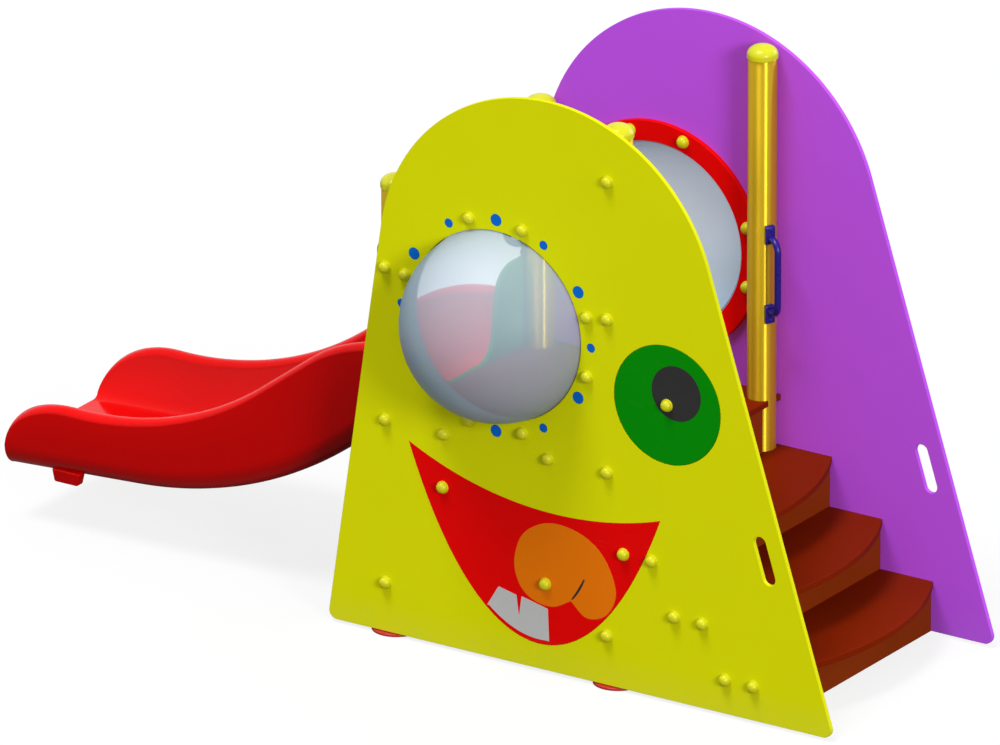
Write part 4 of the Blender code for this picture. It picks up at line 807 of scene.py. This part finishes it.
def makeHandle():
    # bar: a circle that is pushed out, spun round a bend, up, round and back
    bm = bmesh.new()
    bend = handle["bend"]
    offset = handle["spacing"] / 2 - handle["barInset"]
    start = fit["postRadius"] + handle["padThickness"] / 2
    lay = at(start, 0, -offset) @ Matrix.Rotation(math.pi / 2, 4, "Y")
    ring = bmesh.ops.create_circle(bm, cap_ends=True, segments=handle["segments"], radius=handle["barRadius"],
                                   matrix=lay)["verts"]

    def turned(edges, centre):
        geom = [*{v for e in edges for v in e.verts}, *edges]
        spun = bmesh.ops.spin(bm, geom=geom, cent=centre, axis=(0, -1, 0), angle=math.pi / 2,
                              steps=handle["bendSteps"])
        return newRing(spun["geom_last"])[1]

    bendX = handle["reach"] - bend
    edges = pushRing(bm, list({e for v in ring for e in v.link_edges}), (bendX - start, 0, 0))
    edges = turned(edges, (bendX, 0, -offset + bend))
    edges = pushRing(bm, edges, (0, 0, 2 * (offset - bend)))
    edges = turned(edges, (bendX, 0, offset - bend))
    edges = pushRing(bm, edges, (start - bendX, 0, 0))
    bmesh.ops.holes_fill(bm, edges=edges)
    return bm


def makePad():
    # a saddle that follows the post: its upright section spun a little way round the post's axis
    inner = fit["postRadius"] + handle["padGap"]
    outer = fit["postRadius"] + handle["padThickness"]
    half, rim, crown = handle["padHeight"] / 2, handle["padRim"], handle["padCrown"]
    sweep = handle["padWidth"] / (inner + outer) * 2
    bm = makeTurned([(inner, -half, rim), (outer, -half, crown), (outer, half, crown), (inner, half, rim)],
                    handle["padSteps"], closed=True, angle=sweep)
    bmesh.ops.rotate(bm, verts=bm.verts, cent=(0, 0, 0), matrix=Matrix.Rotation(-sweep / 2, 3, "Z"))
    ends = bmesh.ops.holes_fill(bm, edges=[e for e in bm.edges if e.is_boundary])["faces"]
    ease(bm, list({e for face in ends for e in face.edges}), handle["padEasing"], clamp=True)
    return bm


def makeGrabHandle():
    items = [(makeHandle(), Matrix())]
    radius, height, sunk = handle["screwRadius"], handle["screwHeight"], -handle["screwSunk"]
    for level in (-1, 1):
        items.append((makePad(), at(0, 0, level * handle["spacing"] / 2)))
        head = makeTurned([(0, height), (radius, height, handle["screwRim"]), (radius, sunk), (0, sunk)],
                          handle["screwSegments"])
        z = level * (handle["spacing"] / 2 + handle["screwInset"])
        items.append((head, pointing((fit["postRadius"] + handle["padThickness"], 0, z), (1, 0, 0))))
    return joined(items)


def buildPosts():
    radius, bottom, rim = fit["postRadius"], post["bottom"], post["rim"]
    bore = radius - post["wall"]
    for end, sideName in product(postX, sides):
        side, top = sides[sideName], post[end + "Top"]
        label, node = end.capitalize() + sideName.capitalize(), f"{end}_{sideName}"
        place = at(postX[end], side * fit["halfY"], 0)
        tube = makeTurned([(radius, bottom, rim), (radius, top, rim), (bore, top), (bore, bottom)],
                          post["segments"], closed=True)
        finishPiece(tube, "post" + label, "yellow_post", place, ["post_" + node])
        disc = makeTurned([(0, foot["thickness"]), (foot["radius"], foot["thickness"], foot["rim"]),
                           (foot["radius"], 0, foot["footRim"]), (0, 0)], post["segments"])
        finishPiece(disc, "postFoot" + label, "red_base", place, ["base_disc_" + node])
        finishPiece(makePostCap(side), "postCap" + label, "yellow_cap", place @ at(0, 0, top),
                    ["post_cap_" + node], sharp=postCap["sharp"])
        outward = 1 if end == "step" else -1
        facing = math.atan2(-side * math.sin(handle["turn"]), outward * math.cos(handle["turn"]))
        turned = at(0, 0, handle[end + "Height"]) @ Matrix.Rotation(facing, 4, "Z")
        finishPiece(makeGrabHandle(), "grabHandle" + label, "navy_handle", place @ turned, ["handle_" + node])
    print("posts, caps, feet and handles done")


board = {"thickness": 0.020, "rim": 0.002, "halfY": 0.445, "postGap": 0.0015, "holeDepth": 0.2,
         "holeSegments": 96}
deck = {"back": -0.4450, "front": 0.440}
steps = {"count": 3, "front": 0.9905, "going": 0.1827, "bow": 0.112, "bowSteps": 48, "setback": 0.006,
         "riser": 0.015, "riserRim": 0.001}


def postHoles():
    return joined([(makeRod(fit["postRadius"] + board["postGap"], board["holeDepth"], board["holeSegments"]),
                    at(end * fit["halfX"], side * fit["halfY"], 0))
                   for end, side in product((-1, 1), sides.values())])


def stepFront(step):
    return steps["front"] - steps["going"] * (step - 1) if step <= steps["count"] else deck["front"]


def treadOutline(step):
    back = stepFront(step + 1) - steps["setback"] - steps["riser"]
    edge, bow = board["halfY"], steps["bow"]
    radius = (edge ** 2 + bow ** 2) / (2 * bow)
    half = math.asin(edge / radius)
    curve = [(stepFront(step) + bow - radius + p.x, p.y)
             for p in arcPoints((0, 0), radius, -half, 2 * half, steps["bowSteps"])]
    return [(back, -edge), *curve, (back, edge)]


def buildSteps():
    edge, back, front = board["halfY"], deck["back"], deck["front"]
    boards = {"deckBoard": ([(back, -edge), (front, -edge), (front, edge), (back, edge)], fit["deckTop"])}
    for step in range(1, steps["count"] + 1):
        boards[f"tread{step}"] = (treadOutline(step), stepHeight(step))
    for name, (outline, z) in boards.items():
        sheet = makePlate(outline, board["thickness"], board["rim"])
        if name in ("deckBoard", f"tread{steps['count']}"):
            sheet = carved(sheet, postHoles())
        node = "deck_board" if name == "deckBoard" else name.replace("tread", "tread_")
        finishPiece(sheet, name, "brown_board", at(deckX, 0, z), [node], weighted=True)
    for step in range(1, steps["count"] + 2):
        low = stepHeight(step - 1) + (fit["touch"] if step > 1 else 0)
        high = stepHeight(step) - board["thickness"] - fit["touch"]
        half = edge if step <= steps["count"] else fit["halfY"] - fit["postRadius"] - board["postGap"]
        face = stepFront(step) - steps["setback"]
        riser = makeBlock((face - steps["riser"], -half, low), (face, half, high), steps["riserRim"])
        # the risers' lighter brown is painted light on their upright faces
        finishPiece(riser, f"riser{step}", "brown_riser", at(deckX, 0, 0), [f"riser_{step}"],
                    weighted=True)
    print("deck, treads and risers done")


angleBar = {"wall": 0.004, "treadLeg": 0.048, "treadLength": 0.124, "deckLeg": 0.050, "deckLength": 0.040,
            "outerRadius": 0.003, "innerRadius": 0.002, "tipRadius": 0.0012, "nutRadius": 0.0095,
            "nutHeight": 0.007, "nutRim": 0.0006}


def makeAngle(leg, length, boltXs, boltDrop):
    # an L section pushed along X, with a hex nut on each bolt inside the upright leg
    wall, bend, tip = angleBar["wall"], angleBar["outerRadius"], angleBar["tipRadius"]
    bm = bmesh.new()
    edges = addChain(bm, [(0, 0, bend), (0, leg, tip), (-wall, leg, tip),
                          (-wall, wall, angleBar["innerRadius"]), (-leg, wall, tip), (-leg, 0, tip)])
    section = bmesh.ops.contextual_create(bm, geom=edges)["faces"]
    pushed = bmesh.ops.extrude_face_region(bm, geom=section, use_keep_orig=True)
    bmesh.ops.translate(bm, verts=newRing(pushed["geom"])[0], vec=(0, 0, length))
    # drawing plane's u to Y, v to Z, and its height to X
    items = [(bm, Matrix(((0, 0, 1, -length / 2), (1, 0, 0, 0), (0, 1, 0, 0), (0, 0, 0, 1))))]
    for x in boltXs:
        nut = makeRod(angleBar["nutRadius"], angleBar["nutHeight"], segments=6)
        ease(nut, list(nut.edges), angleBar["nutRim"], segments=2)
        items.append((nut, pointing((x, -wall - angleBar["nutHeight"] / 2, boltDrop), (0, -1, 0))))
    return joined(items)


def buildAngles():
    half, touch = boltRows["treadSpacing"] / 2, fit["touch"]
    for sideName, side in sides.items():
        mirror = Matrix.Diagonal((1, side, 1, 1))
        for step, front in enumerate(boltRows["treadFront"], 1):
            seat = stepHeight(step) - board["thickness"] - touch
            drop = boltRows["treadDrop"] - board["thickness"] - touch
            place = at(deckX + front - boltRows["treadBack"], side * fit["innerFace"], seat)
            angle = makeAngle(angleBar["treadLeg"], angleBar["treadLength"], (-half, half), drop)
            finishPiece(angle, f"treadAngle{step}{sideName.capitalize()}", "zinc_steel",
                        place @ mirror @ Matrix.Diagonal((1, 1, -1, 1)), [f"tread_bracket_{step}_{sideName}"])
        for end, x in (("slide", -boltRows["deckOffset"]), ("step", boltRows["deckOffset"])):
            place = at(deckX + x, side * fit["innerFace"], fit["deckTop"] + touch)
            angle = makeAngle(angleBar["deckLeg"], angleBar["deckLength"], (0,), boltRows["deckRise"] - touch)
            finishPiece(angle, f"deckAngle{end.capitalize()}{sideName.capitalize()}", "zinc_steel",
                        place @ mirror, [f"deck_bracket_{end}_{sideName}"])
    print("angles done")


entry = {"thickness": 0.015, "top": 0.947, "skirt": 0.057, "floorHalf": 0.207, "topHalf": 0.240,
         "openingRadius": 0.080, "shoulderRadius": 0.095, "cornerRadius": 0.050, "rim": 0.002}
chute = {
    "startX": -0.4606, "width": 0.627, "wall": 0.050, "foot": 0.190, "lean": math.radians(27), "floor": 0.045,
    "exitFloor": 0.065, "outerRadius": 0.080, "filletRadius": 0.045, "filletShare": 0.9,
    "lipRadius": 0.120, "angle": math.radians(40), "straight": 0.1035, "sweepRadius": 1.351,
    "runoutAngle": math.radians(2.5), "runout": 0.465, "entryWall": 0.203, "shoulder": 0.182,
    "shoulderRadius": 0.529, "crestAngle": math.radians(36.85), "crestSweep": 1.097,
    "crestRise": math.radians(0.7), "exitWall": 0.1775, "noseLength": 0.231, "noseDrop": 0.1475,
    "noseSteps": 30, "rollShare": 0.6,
    "flatShare": 0.4, "roundSteps": 8, "rollSteps": 16, "pathSteps": 40,
    "lugLength": 0.085, "lugWidth": 0.034, "lugTaper": 0.007, "lugDepth": 0.030, "lugInset": 0.028,
    "lugFromExit": 0.163, "lugRoot": 0.012, "lugRim": 0.006, "stations": 110, "sharp": 50,
}


def noseSteps():
    # distance from the exit and drop below the crest line, from the exit up to the crest
    for i in range(chute["noseSteps"] + 1):
        angle = math.pi / 2 * i / chute["noseSteps"]
        yield chute["noseLength"] * (1 - math.cos(angle)), chute["noseDrop"] * (1 - math.sin(angle))


def chutePaths():
    # side view: the floor and the crest of the wall, from the entry (x = 0) towards -X
    lip, angle = chute["lipRadius"], chute["angle"]
    count = chute["pathSteps"]
    floor = arcPoints((0, fit["deckTop"] - lip), lip, math.pi / 2, angle, count)
    knee = floor[-1] + Vector((-math.cos(angle), -math.sin(angle))) * chute["straight"]
    upward = Vector((-math.sin(angle), math.cos(angle)))
    floor += arcPoints(knee + upward * chute["sweepRadius"], chute["sweepRadius"],
                       math.atan2(-upward.y, -upward.x), chute["runoutAngle"] - angle, count)
    runout = Vector((-math.cos(chute["runoutAngle"]), -math.sin(chute["runoutAngle"])))
    floor.append(floor[-1] + runout * chute["runout"])
    crestTop = fit["deckTop"] + chute["entryWall"]
    exitPoint = floor[-1]
    exitCrest = exitPoint.y + chute["exitWall"]
    steep, gentle = math.tan(chute["crestAngle"]), math.tan(chute["crestRise"])
    valleyX = (exitCrest - crestTop + gentle * exitPoint.x - steep * chute["shoulder"]) / (steep + gentle)
    valley = (valleyX, crestTop + steep * (valleyX + chute["shoulder"]))
    nose = [(exitPoint.x + s, exitCrest - gentle * s - drop) for s, drop in noseSteps()]
    line = bmesh.new()
    addChain(line, [(0, crestTop), (-chute["shoulder"], crestTop, chute["shoulderRadius"]),
                    (*valley, chute["crestSweep"]), nose[-1]], closed=False)
    crest = [v.co.to_2d() for v in line.verts]
    line.free()
    return sorted(map(tuple, floor)), sorted(map(tuple, crest + nose[:-1]))


def heightAt(path, x):
    for (x0, z0), (x1, z1) in zip(path, path[1:]):
        if x0 <= x <= x1 and x1 > x0:
            return z0 + (z1 - z0) * (x - x0) / (x1 - x0)
    return path[0][1] if x < path[0][0] else path[-1][1]


def chuteUnderside(floorPath, x):
    along = x / floorPath[0][0]
    return heightAt(floorPath, x) - chute["floor"] - (chute["exitFloor"] - chute["floor"]) * along


def chuteSection(bm, x, floorPath, crestPath):
    # one closed ring of edges: rounded underside, rolled crests, leaning walls and a filleted trough
    floor, crest, under = heightAt(floorPath, x), heightAt(crestPath, x), chuteUnderside(floorPath, x)
    outer, foot = chute["width"] / 2, chute["foot"]
    roll = min(chute["wall"] / 2, chute["rollShare"] * (crest - floor))
    rise = crest - roll - floor
    inner = min(outer - chute["wall"], foot + rise * math.tan(chute["lean"]))
    slope = math.atan2(rise, inner - foot)
    face = math.hypot(rise, inner - foot)
    fillet = min(chute["filletRadius"], chute["filletShare"] * face / math.tan(slope / 2))
    lower = min(chute["outerRadius"], crest - roll - under)
    quarter = math.pi / 2
    few, many, toe = chute["roundSteps"], chute["rollSteps"], foot - fillet * math.tan(slope / 2)
    corners = [((outer - lower, under + lower), lower, lower, -quarter, quarter, few),
               (((outer + inner) / 2, crest - roll), (outer - inner) / 2, roll, 0, math.pi, many),
               ((toe, floor + fillet), fillet, fillet, slope - quarter, -slope, few)]
    half = [(0, under), (outer * chute["flatShare"], under)]
    for (y, z), across, up, start, sweep, count in corners:
        half += [(y + across * p.x, z + up * p.y) for p in arcPoints((0, 0), 1, start, sweep, count)]
    half += [(foot * chute["flatShare"], floor), (0, floor)]
    whole = half + [(-y, z) for y, z in reversed(half[1:-1])]
    verts = [bm.verts.new((x, y, z)) for y, z in whole]
    return [bm.edges.new((a, b)) for a, b in zip(verts, verts[1:] + verts[:1])]


def makeLug():
    length, half, depth = chute["lugLength"] / 2, chute["lugWidth"] / 2, chute["lugDepth"]
    bm = makeBlock((-length, -half, -depth), (length, half, chute["lugRoot"]), chute["lugRim"], segments=4)
    for vert in bm.verts:
        vert.co.x += math.copysign(chute["lugTaper"] * (vert.co.z + depth) / depth, vert.co.x)
    return bm


def buildSlide():
    low, edge, top = fit["deckTop"] - entry["skirt"], board["halfY"], entry["top"]
    right = [(edge, top, entry["cornerRadius"]), (entry["topHalf"], top, entry["shoulderRadius"]),
             (entry["floorHalf"], fit["deckTop"], entry["openingRadius"])]
    left = [(-u, v, radius) for u, v, radius in reversed(right)]
    sheet = makePlate([(-edge, low), (edge, low), *right, *left], entry["thickness"], entry["rim"])
    finishPiece(sheet, "slideEntryPanel", "green_board", crosswise(deckX + chute["startX"] + fit["touch"]),
                ["slide_entry_panel"], weighted=True)

    floorPath, crestPath = chutePaths()
    length = -floorPath[0][0]
    nose = [length - s for s, drop in noseSteps()]
    stations = [i / chute["stations"] * nose[-1] for i in range(chute["stations"])] + nose[::-1]
    body = bmesh.new()
    rings = [chuteSection(body, -s, floorPath, crestPath) for s in stations]
    for first, second in zip(rings, rings[1:]):
        bmesh.ops.bridge_loops(body, edges=first + second)
    for ring in (rings[0], rings[-1]):
        bmesh.ops.contextual_create(body, geom=ring)
    x = -length + chute["lugFromExit"] + chute["lugLength"] / 2
    y = chute["width"] / 2 - chute["lugInset"] - chute["lugWidth"] / 2
    z = chuteUnderside(floorPath, x)
    lugs = [(makeLug(), at(x, side * y, z)) for side in sides.values()]
    finishPiece(joined([(body, Matrix()), *lugs]), "slideChute", "red_slide",
                at(deckX + chute["startX"], 0, 0), ["slide_chute"], sharp=chute["sharp"])
    print("slide done")


buildPanels()
buildFace()
buildBoltCaps()
buildWindows()
buildPosts()
buildSteps()
buildAngles()
buildSlide()


studio = {
    "floorSize": 14.0, "floorDrop": 0.0005, "floorColour": (0.14, 0.14, 0.14, 1), "floorGlow": 0.82,
    "world": 0.56, "lamps": {"key": (2.1, 20, (-0.15, -0.30, 0.94)), "fill": (1.8, 16, (0.81, -0.47, 0.34)),
                             "rim": (0.9, 30, (0.45, 0.85, 0.28))},  # strength, angle and where from
    "azimuth": 33.17, "elevation": 21.38, "lens": 1200, "viewWidth": 3.034, "clipMargin": 40,
    "aim": (-0.2864, 0.0, 0.7259),
}


def buildFloor():
    bm = bmesh.new()
    bmesh.ops.create_circle(bm, cap_ends=True, segments=96, radius=studio["floorSize"])
    floor = toObject(bm, "studioFloor")
    floor.location.z = -studio["floorDrop"]
    pale, tree, shader = startMaterial("paleFloor", 0.9, 0.0)
    seen = addNode(tree, "LightPath").outputs["Is Camera Ray"]
    glow = addNode(tree, "Math", {0: seen, 1: studio["floorGlow"]}, operation="MULTIPLY")
    fill(tree, shader, {"Base Color": studio["floorColour"], "Emission Color": (1, 1, 1, 1),
                        "Emission Strength": glow.outputs["Value"]})
    floor.data.materials.append(pale)


def buildWorld():
    # white where the camera, a reflection or clear plastic looks at it; its light is weaker
    world = bpy.data.worlds.new("studioWorld")
    world.use_nodes = True
    bpy.context.scene.world = world
    tree = world.node_tree
    path = addNode(tree, "LightPath")
    seen = path.outputs["Is Camera Ray"]
    for ray in ("Is Glossy Ray", "Is Transmission Ray"):
        seen = addNode(tree, "Math", {0: seen, 1: path.outputs[ray]}, operation="MAXIMUM").outputs["Value"]
    fill(tree, tree.nodes["Background"], {"Color": (1, 1, 1, 1),
                                          "Strength": addRange(tree, seen, 0, 1, studio["world"], 1.0)})


def buildStudio():
    scene = bpy.context.scene
    for name, (strength, angle, source) in studio["lamps"].items():
        sun = bpy.data.lights.new(name + "Light", "SUN")
        sun.energy, sun.angle = strength, math.radians(angle)
        lamp = bpy.data.objects.new(name + "Light", sun)
        lamp.rotation_euler = Vector(source).to_track_quat("Z", "Y").to_euler()
        scene.collection.objects.link(lamp)

    turn, rise = math.radians(studio["azimuth"]), math.radians(studio["elevation"])
    back = Vector((math.sin(turn) * math.cos(rise), -math.cos(turn) * math.cos(rise), math.sin(rise)))
    camera = bpy.data.cameras.new("camera")
    camera.lens = studio["lens"]
    distance = studio["lens"] * studio["viewWidth"] / camera.sensor_width
    camera.clip_start, camera.clip_end = 1.0, distance + studio["clipMargin"]
    viewer = bpy.data.objects.new("camera", camera)
    viewer.location = Vector(studio["aim"]) + Vector((deckX, 0, 0)) + back * distance
    viewer.rotation_euler = back.to_track_quat("Z", "Y").to_euler()
    scene.collection.objects.link(viewer)
    scene.camera = viewer
    scene.view_settings.view_transform = "Standard"
    print("studio done")


buildFloor()
buildWorld()
buildStudio()
